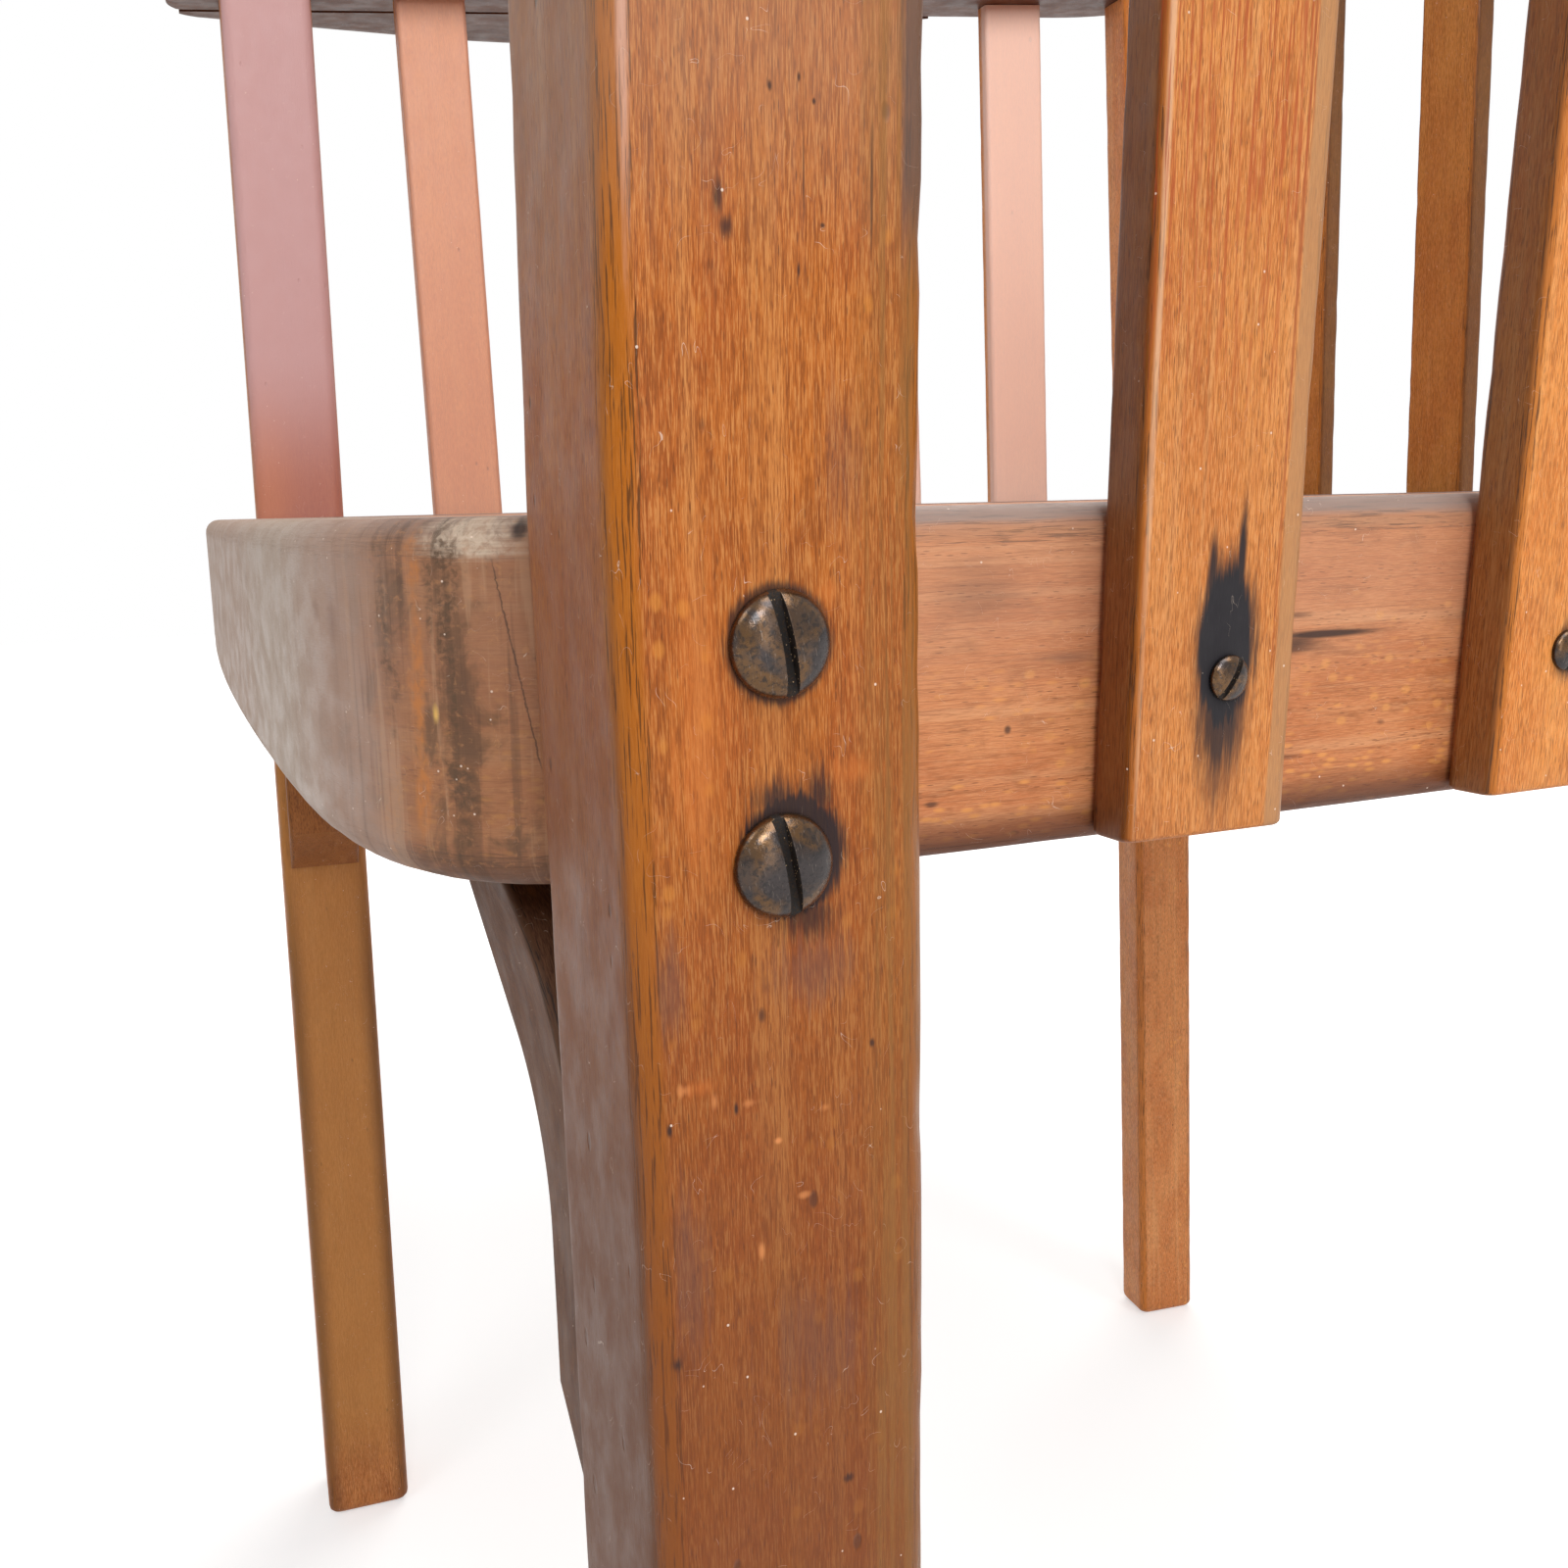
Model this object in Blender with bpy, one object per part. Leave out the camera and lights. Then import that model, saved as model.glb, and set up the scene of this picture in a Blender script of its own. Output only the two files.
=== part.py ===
"""Bentwood armchair: a bent seat rail, legs lapped on its outside, slats all round and a swept arm bow.

Metres, +Z up. The sitter faces -Y, so "right" is the +X side. Sizes below are measured from the line through
the centres of the front legs. The whole chair is then moved, so that its middle is the origin.
"""

import math
from functools import partial

import bmesh
import bpy
from mathutils import Quaternion, Vector

# Clearances: faces that touch on the chair keep this much air
SEATING_GAP = 0.0003
CUT_OVERRUN = 0.004

# Seat rail, one bent hoop with a rounded top edge and a rebate for the panel
SEAT_HEIGHT = 0.450
RAIL_HEIGHT = 0.050
RAIL_WIDTH = 0.044
RAIL_TOP_RADIUS = 0.0045
RAIL_BOTTOM_RADIUS = 0.0025
FRONT_BOTTOM_RADIUS = 0.006
FRONT_REACH = 0.0436
FRONT_FLAT_HALF = 0.150
FRONT_BOW = 0.0023
FRONT_CORNER_END = 0.060
SIDE_HALF_FRONT = 0.249
SIDE_HALF_BACK = 0.226
SIDE_BOW = 0.0044
LEG_SPAN = 0.418
BACK_CORNER_DELAY = 0.006
BACK_FLAT_HALF = 0.195
BACK_REACH = 0.0325
BACK_BOW = 0.0105
LEG_LEAN_SHARE = 0.041
SLAT_LEAN_SHARE = 0.0606
BACK_LEAN_SHARE = 0.0165
FRONT_BEND_START = -0.025
TWIST_LEAD = 0.061
TWIST_MARGIN = 0.006
FRONT_CORNER_SHARE = 0.92
BACK_CORNER_SHARE = 0.62

# Plywood seat let into the rebate
PANEL_THICKNESS = 0.006
PANEL_DROP = 0.0004
PANEL_LEDGE = 0.012
PANEL_EDGE_RADIUS = 0.0008

# Front legs, one straight bar each from the floor to the arm
FRONT_LEG_WIDTH = 0.0352
RIGHT_LEG_EXTRA = 0.0024
FRONT_LEG_SHIFT = 0.0009
FRONT_LEG_THICKNESS = 0.034
FRONT_LEG_FOOT_FORWARD = 0.0047
FRONT_LEG_TOP_BACK = 0.0021
FRONT_LEG_TURN_SHARE = 0.0507
RIGHT_LEG_WARP = 0.0046
LEG_EDGE_RADIUS = 0.0038
FOOT_RADIUS = 0.004

# Back legs, also straight, raked so that their feet stand behind the seat
BACK_LEG_WIDTH = 0.0318
BACK_LEG_THICKNESS = 0.024
BACK_LEG_FOOT_BACK = 0.0145
BACK_LEG_TOP_FORWARD = 0.0090
LEG_STATION_SHARES = (0.0, 0.25, 0.5, 0.75, 1.0)

# Slats, all of one stock, fixed to the outside of the rail and let into the arm bow
SLAT_WIDTH = 0.0292
SLAT_THICKNESS = 0.0094
SLAT_EDGE_RADIUS = 0.0018
SLAT_FOOT_RISE = 0.0010
SLAT_FAN_SHARES = (-0.009, 0.005)
SLAT_RUN_START = 0.0708
SLAT_RUN_MARGIN = 0.0782
LEFT_SLAT_SHARES = (0.0, 0.25, 0.5, 0.75, 1.0)
RIGHT_SLAT_SHARES = (0.036, 0.304, 0.54, 0.77, 1.0)
BACK_SLAT_PITCH = 0.079
BACK_SLAT_STEPS = (-2, -1, 0, 1, 2)

# Arm bow, one flat hoop bent round the chair, a little higher at the back than at the front
ARM_RISE = 0.2095
ARM_SLOPE_SHARE = 0.0665
BOW_WIDTH = 0.036
BOW_THICKNESS = 0.024
BOW_TOP_RADIUS = 0.005
BOW_BOTTOM_RADIUS = 0.003
BOW_HALF_FRONT = 0.2704
BOW_HALF_BACK = 0.2492
BOW_SIDE_BOW = -0.0006
BOW_CORNER_LEAD = 0.046
BOW_BACK_FLAT_HALF = 0.185
BOW_BACK_REACH = 0.034
BOW_BACK_BOW = 0.0097
BOW_FRONT_REACH = 0.035
BOW_END_RADIUS = 0.012
BOW_CORNER_SHARE = 0.60
NOSE_SHARES = (0.0, 0.1, 0.3, 0.6, 1.0)

# Arm wings, glued to the outside of the bow to make a broad rest for the hand
WING_HALF_FRONT = 0.2975
WING_SPREAD_SHARE = 0.23
WING_SPREAD_END = 0.085
WING_TAIL_LEAD = 0.108
WING_TAPER_SHARE = 0.60
WING_CORNER_SHARE = 0.62
WING_NOSE_RADIUS = 0.018
WING_EDGE_RADIUS = 0.006
WING_TAIL_THICKNESS = 0.002

# Crest, a curved board standing on the bow behind the sitter
CREST_HEIGHT = 0.075
CREST_THICKNESS = 0.020
CREST_END_HEIGHT = 0.012
CREST_END_THICKNESS = 0.010
CREST_EDGE_RADIUS = 0.006
CREST_LEAN_SHARE = 0.10
CREST_ROUND_SHARE = 0.80
CREST_SHOULDER_SHARE = 0.35

# Tenons at the tops of legs and slats
TENON_LENGTH = 0.013
TENON_EDGE_RADIUS = 0.001
LEG_TENON_SIZE = (0.022, 0.018)
SLAT_TENON_SIZE = (0.018, 0.006)

# Bent braces in the corners under the front rail
BRACE_WIDTH = 0.028
BRACE_SETBACK = 0.0036
BRACE_REACH = 0.067
BRACE_DROP = 0.098
BRACE_THICKNESS = 0.020
BRACE_TIP = 0.002
BRACE_TAPER = 0.018
BRACE_HOLLOW_RADIUS = 0.0345
BRACE_HOLLOW_SWEEP = 53
BRACE_EDGE_RADIUS = 0.0015

# Screws: large domed ones through the legs, small ones through slats, braces and bow
LEG_SCREW_HEAD_RADIUS = 0.00605
LEG_SCREW_DOME = 0.0026
LEG_SCREW_SHANK_RADIUS = 0.0025
LEG_SCREW_BITE = 0.018
LEG_SCREW_TOP_DROP = 0.0142
LEG_SCREW_SPACING = 0.0249
LEG_SCREW_SHIFT = -0.0003
LEG_SCREW_SLOT_WIDTH = 0.0015
LEG_SCREW_TURN = math.radians(11)
SMALL_SCREW_HEAD_RADIUS = 0.0034
SMALL_SCREW_DOME = 0.0013
SMALL_SCREW_SHANK_RADIUS = 0.0013
SMALL_SCREW_BITE = 0.012
SMALL_SCREW_SLOT_WIDTH = 0.0009
SMALL_SCREW_TURN = math.radians(25)
SMALL_SCREW_DROP = 0.0255
SMALL_SCREW_WANDER = 0.0019
SMALL_SCREW_STEP = math.radians(110)
SCREW_DOME_SHARES = (0.35, 0.75)
SCREW_SLOT_FLOOR_SHARE = 0.35
BRACE_SCREW_SHARE = 0.4

# Facets
CORNER_STEPS = 9
RAIL_SIDE_SHARES = (0.0, 0.2, 0.4, 0.6, 0.77, 0.825, 0.865, 0.91, 0.955, 1.0)
END_STEPS = 7
BOW_SIDE_SHARES = (0.0, 0.2, 0.4, 0.6, 0.8, 1.0)
WING_STEPS = 9
LEG_CORNER_STEPS = 2
SCREW_SIDES = 12
SMALL_SCREW_SIDES = 8
SMOOTH_ANGLE = math.radians(40)

# Finish: old beech under shellac, and darkened screws
SIDE_WORDS = {-1: "left", 1: "right"}
COLOURS = {
    "leg_wood": (0.38, 0.145, 0.045),
    "rail_wood": (0.42, 0.19, 0.08),
    "slat_wood": (0.46, 0.20, 0.07),
    "bow_wood": (0.22, 0.09, 0.035),
    "panel_wood": (0.40, 0.20, 0.09),
    "screw_metal": (0.10, 0.07, 0.05),
}
WOOD_ROUGHNESS = 0.42
METAL_ROUGHNESS = 0.38


def lerp(a, b, share):
    return a + (b - a) * share


def smooth_step(value, start, end):
    """0 before start, 1 past end, with a soft run between."""
    share = min(max((value - start) / (end - start), 0.0), 1.0)
    return share * share * (3 - 2 * share)


def bezier(p0, h0, h1, p1, steps):
    """Points after p0 up to and with p1 on one cubic curve."""
    points = []
    for i in range(1, steps + 1):
        t = i / steps
        u = 1 - t
        points.append(p0 * u ** 3 + h0 * 3 * u * u * t + h1 * 3 * u * t * t + p1 * t ** 3)
    return points


def corner(p0, t0, p1, t1, share, steps):
    """A bend from p0 along t0 to p1 along t1; share says how far it reaches into the corner."""
    cross = t0.x * t1.y - t0.y * t1.x
    gap = p1 - p0
    reach = (gap.x * t1.y - gap.y * t1.x) / cross
    knee = p0 + t0 * reach
    return bezier(p0, p0.lerp(knee, share), p1.lerp(knee, share), p1, steps)


class Plan:
    """Half plan of a bent hoop: a bowed front, a bowed side and a bowed back joined by bends."""

    def __init__(self, side_front, side_back, span, side_bow, back_y, back_bow, back_half):
        self.side_front = side_front
        self.side_back = side_back
        self.span = span
        self.side_bow = side_bow
        self.back_y = back_y
        self.back_bow = back_bow
        self.back_half = back_half

    def side_x(self, y):
        s = y / self.span
        return lerp(self.side_front, self.side_back, s) + 4 * self.side_bow * s * (1 - s)

    def side_tangent(self, y):
        s = y / self.span
        slope = (self.side_back - self.side_front + 4 * self.side_bow * (1 - 2 * s)) / self.span
        return Vector((slope, 1.0)).normalized()

    def back_at(self, x):
        return self.back_y - self.back_bow * (x / self.back_half) ** 2

    def back_tangent(self, x):
        slope = -2 * self.back_bow * x / self.back_half ** 2
        return Vector((-1.0, -slope)).normalized()

    def side_point(self, y):
        return Vector((self.side_x(y), y))

    def back_point(self, x):
        return Vector((x, self.back_at(x)))

    def back_half_points(self, start_y, corner_share, side_shares, from_y):
        """Points up the side from from_y, round the back bend and on to the middle of the back."""
        points = []
        for share in side_shares:
            points.append(self.side_point(lerp(from_y, start_y, share)))
        back_start = self.back_point(self.back_half)
        tangent_in = self.side_tangent(start_y)
        tangent_out = self.back_tangent(self.back_half)
        points += corner(points[-1], tangent_in, back_start, tangent_out, corner_share, CORNER_STEPS)
        for i in range(1, END_STEPS + 1):
            points.append(self.back_point(self.back_half * (1 - i / END_STEPS)))
        return points


# Places along the chair that move with the back legs
BACK_CORNER_START = LEG_SPAN + BACK_CORNER_DELAY
TWIST_START = LEG_SPAN - TWIST_LEAD
TWIST_END = LEG_SPAN - TWIST_MARGIN
SLAT_RUN_LENGTH = LEG_SPAN - SLAT_RUN_MARGIN - SLAT_RUN_START
BOW_SIDE_END = LEG_SPAN - BOW_CORNER_LEAD
WING_END = LEG_SPAN - WING_TAIL_LEAD

RAIL_BACK_Y = LEG_SPAN + BACK_REACH
RAIL_PLAN = Plan(SIDE_HALF_FRONT, SIDE_HALF_BACK, LEG_SPAN, SIDE_BOW, RAIL_BACK_Y, BACK_BOW, BACK_FLAT_HALF)
BOW_BACK_Y = LEG_SPAN + BOW_BACK_REACH
BOW_PLAN = Plan(
    BOW_HALF_FRONT, BOW_HALF_BACK, LEG_SPAN, BOW_SIDE_BOW, BOW_BACK_Y, BOW_BACK_BOW, BOW_BACK_FLAT_HALF
)


def front_y(x):
    return -FRONT_REACH + FRONT_BOW * (x / FRONT_FLAT_HALF) ** 2


def rail_half_outline():
    """Outer top edge of the rail on the +X side, from the middle of the front to the middle of the back."""
    points = []
    for i in range(END_STEPS + 1):
        x = FRONT_FLAT_HALF * i / END_STEPS
        points.append(Vector((x, front_y(x))))
    front_tangent = Vector((FRONT_FLAT_HALF, 2 * FRONT_BOW)).normalized()
    side_start = RAIL_PLAN.side_point(FRONT_CORNER_END)
    side_tangent = RAIL_PLAN.side_tangent(FRONT_CORNER_END)
    points += corner(points[-1], front_tangent, side_start, side_tangent, FRONT_CORNER_SHARE, CORNER_STEPS)
    rest = RAIL_PLAN.back_half_points(
        BACK_CORNER_START, BACK_CORNER_SHARE, RAIL_SIDE_SHARES, FRONT_CORNER_END
    )
    return points + rest[1:]


def mirrored_loop(half):
    """Close a half outline that starts and ends on the middle plane."""
    left = [Vector((-p.x, p.y)) for p in reversed(half[1:-1])]
    return half + left


def outward_normals(loop, closed=True):
    normals = []
    count = len(loop)
    for i in range(count):
        before = loop[i - 1] if closed or i > 0 else loop[i]
        after = loop[(i + 1) % count] if closed or i < count - 1 else loop[i]
        along = (after - before).normalized()
        normals.append(Vector((along.y, -along.x)))
    return normals


def rail_lean(y):
    """Slope of the rail's outer face: upright in front, then as the legs and slats that lie on it."""
    leg = LEG_LEAN_SHARE * smooth_step(y, FRONT_BEND_START, 0.0)
    side = lerp(leg, SLAT_LEAN_SHARE, smooth_step(y, 0.0, SLAT_RUN_START - SLAT_WIDTH))
    return lerp(side, -BACK_LEAN_SHARE, smooth_step(y, TWIST_START, TWIST_END))


def bottom_radius(y):
    """The rail's lower edge is well rounded in front, where it meets the sitter's legs."""
    share = smooth_step(y, FRONT_BEND_START, SLAT_RUN_START / 2)
    return lerp(FRONT_BOTTOM_RADIUS, RAIL_BOTTOM_RADIUS, share)


def inner_scale(point, inset):
    """The rail's inner edge follows its outer one, drawn in by the rail's width on every side."""
    middle_y = (RAIL_BACK_Y - FRONT_REACH) / 2
    half_depth = (RAIL_BACK_Y + FRONT_REACH) / 2
    scale_x = (SIDE_HALF_FRONT - inset) / SIDE_HALF_FRONT
    scale_y = (half_depth - inset) / half_depth
    return Vector((point.x * scale_x, middle_y + (point.y - middle_y) * scale_y))


def new_material(slot, metallic=0.0):
    material = bpy.data.materials.new(slot)
    material.use_nodes = True
    shader = material.node_tree.nodes["Principled BSDF"]
    shader.inputs["Base Color"].default_value = (*COLOURS[slot], 1.0)
    shader.inputs["Roughness"].default_value = METAL_ROUGHNESS if metallic else WOOD_ROUGHNESS
    shader.inputs["Metallic"].default_value = metallic
    return material


def new_object(name, bm, slot, metallic=0.0):
    """Make one named piece of the chair from a bmesh."""
    bmesh.ops.recalc_face_normals(bm, faces=bm.faces)
    mesh = bpy.data.meshes.new(name)
    bm.to_mesh(mesh)
    bm.free()
    mesh.shade_smooth()
    mesh.set_sharp_from_angle(angle=SMOOTH_ANGLE)
    obj = bpy.data.objects.new(name, mesh)
    bpy.context.collection.objects.link(obj)
    if slot is not None:
        mesh.materials.append(new_material(slot, metallic))
    return obj


def new_cutter(name, bm):
    cutter = new_object(name, bm, None)
    cutter.hide_render = True
    cutter.display_type = "WIRE"
    return cutter


def cut(obj, cutter):
    modifier = obj.modifiers.new(cutter.name, "BOOLEAN")
    modifier.operation = "DIFFERENCE"
    modifier.solver = "EXACT"
    modifier.object = cutter


def add_loft(bm, rings, closed_path=False):
    """Skin a row of rings with equal point counts; an open row is capped at both ends."""
    vert_rings = [[bm.verts.new(p) for p in ring] for ring in rings]
    count = len(rings[0])
    last = len(rings) if closed_path else len(rings) - 1
    for i in range(last):
        lower = vert_rings[i]
        upper = vert_rings[(i + 1) % len(rings)]
        for j in range(count):
            k = (j + 1) % count
            bm.faces.new((lower[j], lower[k], upper[k], upper[j]))
    if not closed_path:
        bm.faces.new(list(reversed(vert_rings[0])))
        bm.faces.new(vert_rings[-1])


def rounded_section(width, thickness, radius, steps=1):
    """Rounded rectangle as (along, out) pairs about its centre; steps is the facets in each corner."""
    points = []
    for corner_index in range(4):
        start = corner_index * math.pi / 2
        sign_a = 1 if corner_index in (0, 3) else -1
        sign_b = 1 if corner_index in (0, 1) else -1
        for step in range(steps + 1):
            angle = start + (math.pi / 2) * step / steps
            a = sign_a * (width / 2 - radius) + radius * math.cos(angle)
            b = sign_b * (thickness / 2 - radius) + radius * math.sin(angle)
            points.append((a, b))
    return points


def place_ring(section, centre, tangent, normal):
    """Lay a section flat at a centre point, its first measure along tangent and its second along normal."""
    ring = []
    for a, b in section:
        flat = centre.xy + tangent * a + normal * b
        ring.append(Vector((flat.x, flat.y, centre.z)))
    return ring


def arm_underside(y):
    """The arm bow and its wings lie in one plane that rises towards the back."""
    return SEAT_HEIGHT + ARM_RISE + ARM_SLOPE_SHARE * y


def bow_half_path():
    """Centre line of the bow on the +X side, from its front end to the middle of the back."""
    ahead = BOW_PLAN.side_point(-BOW_FRONT_REACH)
    body = BOW_PLAN.back_half_points(BOW_SIDE_END, BOW_CORNER_SHARE, BOW_SIDE_SHARES, 0.0)
    return [ahead] + body


def rail_section(point, normal):
    """Cross-section of the rail at one point of its outer edge, from the panel's ledge to the inside."""
    lean = rail_lean(point.y)
    top = SEAT_HEIGHT
    bottom = SEAT_HEIGHT - RAIL_HEIGHT
    section = []

    def outside(inset, z):
        flat = point - normal * inset
        section.append(Vector((flat.x, flat.y, z)))

    def inside(inset, z):
        flat = inner_scale(point, inset)
        section.append(Vector((flat.x, flat.y, z)))

    inside(RAIL_WIDTH - PANEL_LEDGE, top)
    for step in range(LEG_CORNER_STEPS + 1):
        angle = math.pi / 2 * step / LEG_CORNER_STEPS
        inset = RAIL_TOP_RADIUS * (1 - math.sin(angle))
        drop = RAIL_TOP_RADIUS * (1 - math.cos(angle))
        outside(inset + lean * drop, top - drop)
    radius = bottom_radius(point.y)
    for step in range(LEG_CORNER_STEPS + 1):
        angle = math.pi / 2 * step / LEG_CORNER_STEPS
        rise = radius * (1 - math.sin(angle))
        outside(lean * (RAIL_HEIGHT - rise) + radius * (1 - math.cos(angle)), bottom + rise)
    inside(RAIL_WIDTH, bottom)
    inside(RAIL_WIDTH, top - PANEL_THICKNESS - PANEL_DROP)
    inside(RAIL_WIDTH - PANEL_LEDGE, top - PANEL_THICKNESS - PANEL_DROP)
    return section


def make_seat_rail():
    loop = mirrored_loop(rail_half_outline())
    normals = outward_normals(loop)
    bm = bmesh.new()
    add_loft(bm, [rail_section(p, n) for p, n in zip(loop, normals)], closed_path=True)
    return new_object("seat_rail", bm, "rail_wood")


def make_rail_cutter():
    """The rail's outer shape grown by the seating gap, to trim the legs that lap on it."""
    loop = mirrored_loop(rail_half_outline())
    normals = outward_normals(loop)
    rings = []
    for level in range(4):
        ring = []
        for point, normal in zip(loop, normals):
            z = SEAT_HEIGHT + SEATING_GAP
            if level == 0:
                z = SEAT_HEIGHT - RAIL_HEIGHT - SEATING_GAP
            elif level == 1:
                z = SEAT_HEIGHT - RAIL_HEIGHT + bottom_radius(point.y)
            elif level == 2:
                z = SEAT_HEIGHT - RAIL_TOP_RADIUS
            flat = point + normal * (SEATING_GAP - rail_lean(point.y) * (SEAT_HEIGHT - z))
            ring.append(Vector((flat.x, flat.y, z)))
        rings.append(ring)
    bm = bmesh.new()
    add_loft(bm, rings)
    return new_cutter("rail_trim", bm)


def make_seat_panel():
    """Plywood seat with a softened top edge, lying in the rebate of the rail."""
    loop = mirrored_loop(rail_half_outline())
    inset = RAIL_WIDTH - PANEL_LEDGE + SEATING_GAP
    top = SEAT_HEIGHT - PANEL_DROP
    levels = (
        (inset, top - PANEL_THICKNESS + SEATING_GAP),
        (inset, top - PANEL_EDGE_RADIUS),
        (inset + PANEL_EDGE_RADIUS, top),
    )
    rings = []
    for ring_inset, z in levels:
        flats = [inner_scale(point, ring_inset) for point in loop]
        rings.append([Vector((flat.x, flat.y, z)) for flat in flats])
    bm = bmesh.new()
    add_loft(bm, rings)
    return new_object("seat_panel", bm, "panel_wood")


def on_arm_plane(ring, rise):
    return [Vector((p.x, p.y, arm_underside(p.y) + rise)) for p in ring]


def upright_rings(section, tenon, stations, tangent, normal, top_centre):
    """Rings of an upright: its body through the stations, a shoulder under the bow and a tenon into it."""
    width = max(a for a, b in section)
    depth = max(b for a, b in section)
    rings = []
    for centre, shrink in stations:
        smaller = [(a * (1 - shrink / width), b * (1 - shrink / depth)) for a, b in section]
        rings.append(place_ring(smaller, centre, tangent, normal))
    rings.append(on_arm_plane(place_ring(section, top_centre, tangent, normal), -SEATING_GAP))
    tenon_ring = place_ring(tenon, top_centre, tangent, normal)
    rings.append(on_arm_plane(tenon_ring, -SEATING_GAP))
    rings.append(on_arm_plane(tenon_ring, TENON_LENGTH - SEATING_GAP))
    return rings


def mortise_rings(tenon_size, tangent, normal, top_centre):
    """A mortise for one tenon, larger than it by the seating gap all round."""
    width, depth = tenon_size
    section = rounded_section(width + 2 * SEATING_GAP, depth + 2 * SEATING_GAP, TENON_EDGE_RADIUS)
    ring = place_ring(section, top_centre, tangent, normal)
    return [on_arm_plane(ring, -CUT_OVERRUN), on_arm_plane(ring, TENON_LENGTH)]


def front_leg_frame(side):
    """Tangent and outward normal of a front leg, which is turned a little to look along the arm."""
    tangent = Vector((-side * FRONT_LEG_TURN_SHARE, 1.0)).normalized()
    normal = Vector((tangent.y, -tangent.x)) * side
    return tangent, normal


def front_leg_width(side):
    return FRONT_LEG_WIDTH + (RIGHT_LEG_EXTRA if side > 0 else 0.0)


def front_leg_centre(side, z):
    """Centre line of a front leg: in towards the foot, out to the arm, bowed where the wood has moved."""
    middle = SIDE_HALF_FRONT + FRONT_LEG_THICKNESS / 2
    if z >= SEAT_HEIGHT:
        rise = (z - SEAT_HEIGHT) / ARM_RISE
        x = lerp(middle, BOW_HALF_FRONT, rise)
        return Vector((side * x, FRONT_LEG_SHIFT + FRONT_LEG_TOP_BACK * rise, z))
    drop = (SEAT_HEIGHT - z) / SEAT_HEIGHT
    x = middle - LEG_LEAN_SHARE * (SEAT_HEIGHT - z)
    y = FRONT_LEG_SHIFT - FRONT_LEG_FOOT_FORWARD * drop
    if side > 0:
        y += RIGHT_LEG_WARP * math.sin(math.pi * drop)
    return Vector((side * x, y, z))


def back_leg_frame(side):
    """A back leg lies flat on the rail just ahead of its rear bend."""
    along = RAIL_PLAN.side_tangent(LEG_SPAN)
    tangent = Vector((side * along.x, along.y))
    normal = Vector((side * along.y, -along.x))
    return tangent, normal


def back_leg_centre(side, z):
    tangent, normal = back_leg_frame(side)
    base = RAIL_PLAN.side_point(LEG_SPAN)
    middle = Vector((side * base.x, base.y)) + normal * (BACK_LEG_THICKNESS / 2)
    if z >= SEAT_HEIGHT:
        shift = -BACK_LEG_TOP_FORWARD * (z - SEAT_HEIGHT) / ARM_RISE
    else:
        shift = BACK_LEG_FOOT_BACK * (SEAT_HEIGHT - z) / SEAT_HEIGHT
    return Vector((middle.x, middle.y + shift, z))


def make_leg(name, centre_at, tangent, normal, size, trimmer):
    """One leg from its rounded foot to the tenon in the bow."""
    section = rounded_section(*size, LEG_EDGE_RADIUS, LEG_CORNER_STEPS)
    tenon = rounded_section(*LEG_TENON_SIZE, TENON_EDGE_RADIUS, LEG_CORNER_STEPS)
    stations = [(centre_at(0.0), FOOT_RADIUS), (centre_at(FOOT_RADIUS / 3), FOOT_RADIUS / 3)]
    for share in LEG_STATION_SHARES:
        stations.append((centre_at(lerp(FOOT_RADIUS, SEAT_HEIGHT, share)), 0.0))
    top_centre = centre_at(SEAT_HEIGHT + ARM_RISE)
    bm = bmesh.new()
    add_loft(bm, upright_rings(section, tenon, stations, tangent, normal, top_centre))
    leg = new_object(name, bm, "leg_wood")
    cut(leg, trimmer)
    return leg


def slat_frames():
    """Name, base point on the rail, tangent, normal, lean outwards and lean along of every slat."""
    frames = []
    for side, word, shares in ((-1, "left", LEFT_SLAT_SHARES), (1, "right", RIGHT_SLAT_SHARES)):
        for index, share in enumerate(shares):
            y = SLAT_RUN_START + SLAT_RUN_LENGTH * share
            along = RAIL_PLAN.side_tangent(y)
            tangent = Vector((side * along.x, along.y))
            normal = Vector((side * along.y, -along.x))
            base = Vector((side * RAIL_PLAN.side_x(y), y))
            fan = lerp(*SLAT_FAN_SHARES, share)
            frames.append((f"{word}_slat_{index + 1}", base, tangent, normal, SLAT_LEAN_SHARE, fan))
    for index, step in enumerate(BACK_SLAT_STEPS):
        x = BACK_SLAT_PITCH * step
        along = RAIL_PLAN.back_tangent(x)
        normal = Vector((along.y, -along.x))
        base = RAIL_PLAN.back_point(x)
        frames.append((f"back_slat_{index + 1}", base, along, normal, -BACK_LEAN_SHARE, 0.0))
    return frames


def slat_middle(frame, z):
    """Centre of a slat at a height, lying along the rail's outer face."""
    name, base, tangent, normal, lean, fan = frame
    rise = z - SEAT_HEIGHT
    flat = base + normal * (SLAT_THICKNESS / 2 + SEATING_GAP + lean * rise) + tangent * fan * rise
    return Vector((flat.x, flat.y, z))


def slat_top(frame):
    base = frame[1]
    return slat_middle(frame, arm_underside(base.y))


def make_slat(frame):
    name, base, tangent, normal, lean, fan = frame
    section = rounded_section(SLAT_WIDTH, SLAT_THICKNESS, SLAT_EDGE_RADIUS)
    tenon = rounded_section(*SLAT_TENON_SIZE, TENON_EDGE_RADIUS)
    foot_z = SEAT_HEIGHT - RAIL_HEIGHT + SLAT_FOOT_RISE
    shoulder_z = foot_z + SLAT_EDGE_RADIUS / 2
    stations = [(slat_middle(frame, foot_z), SLAT_EDGE_RADIUS / 2), (slat_middle(frame, shoulder_z), 0.0)]
    bm = bmesh.new()
    add_loft(bm, upright_rings(section, tenon, stations, tangent, normal, slat_top(frame)))
    return new_object(name, bm, "slat_wood")


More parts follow.
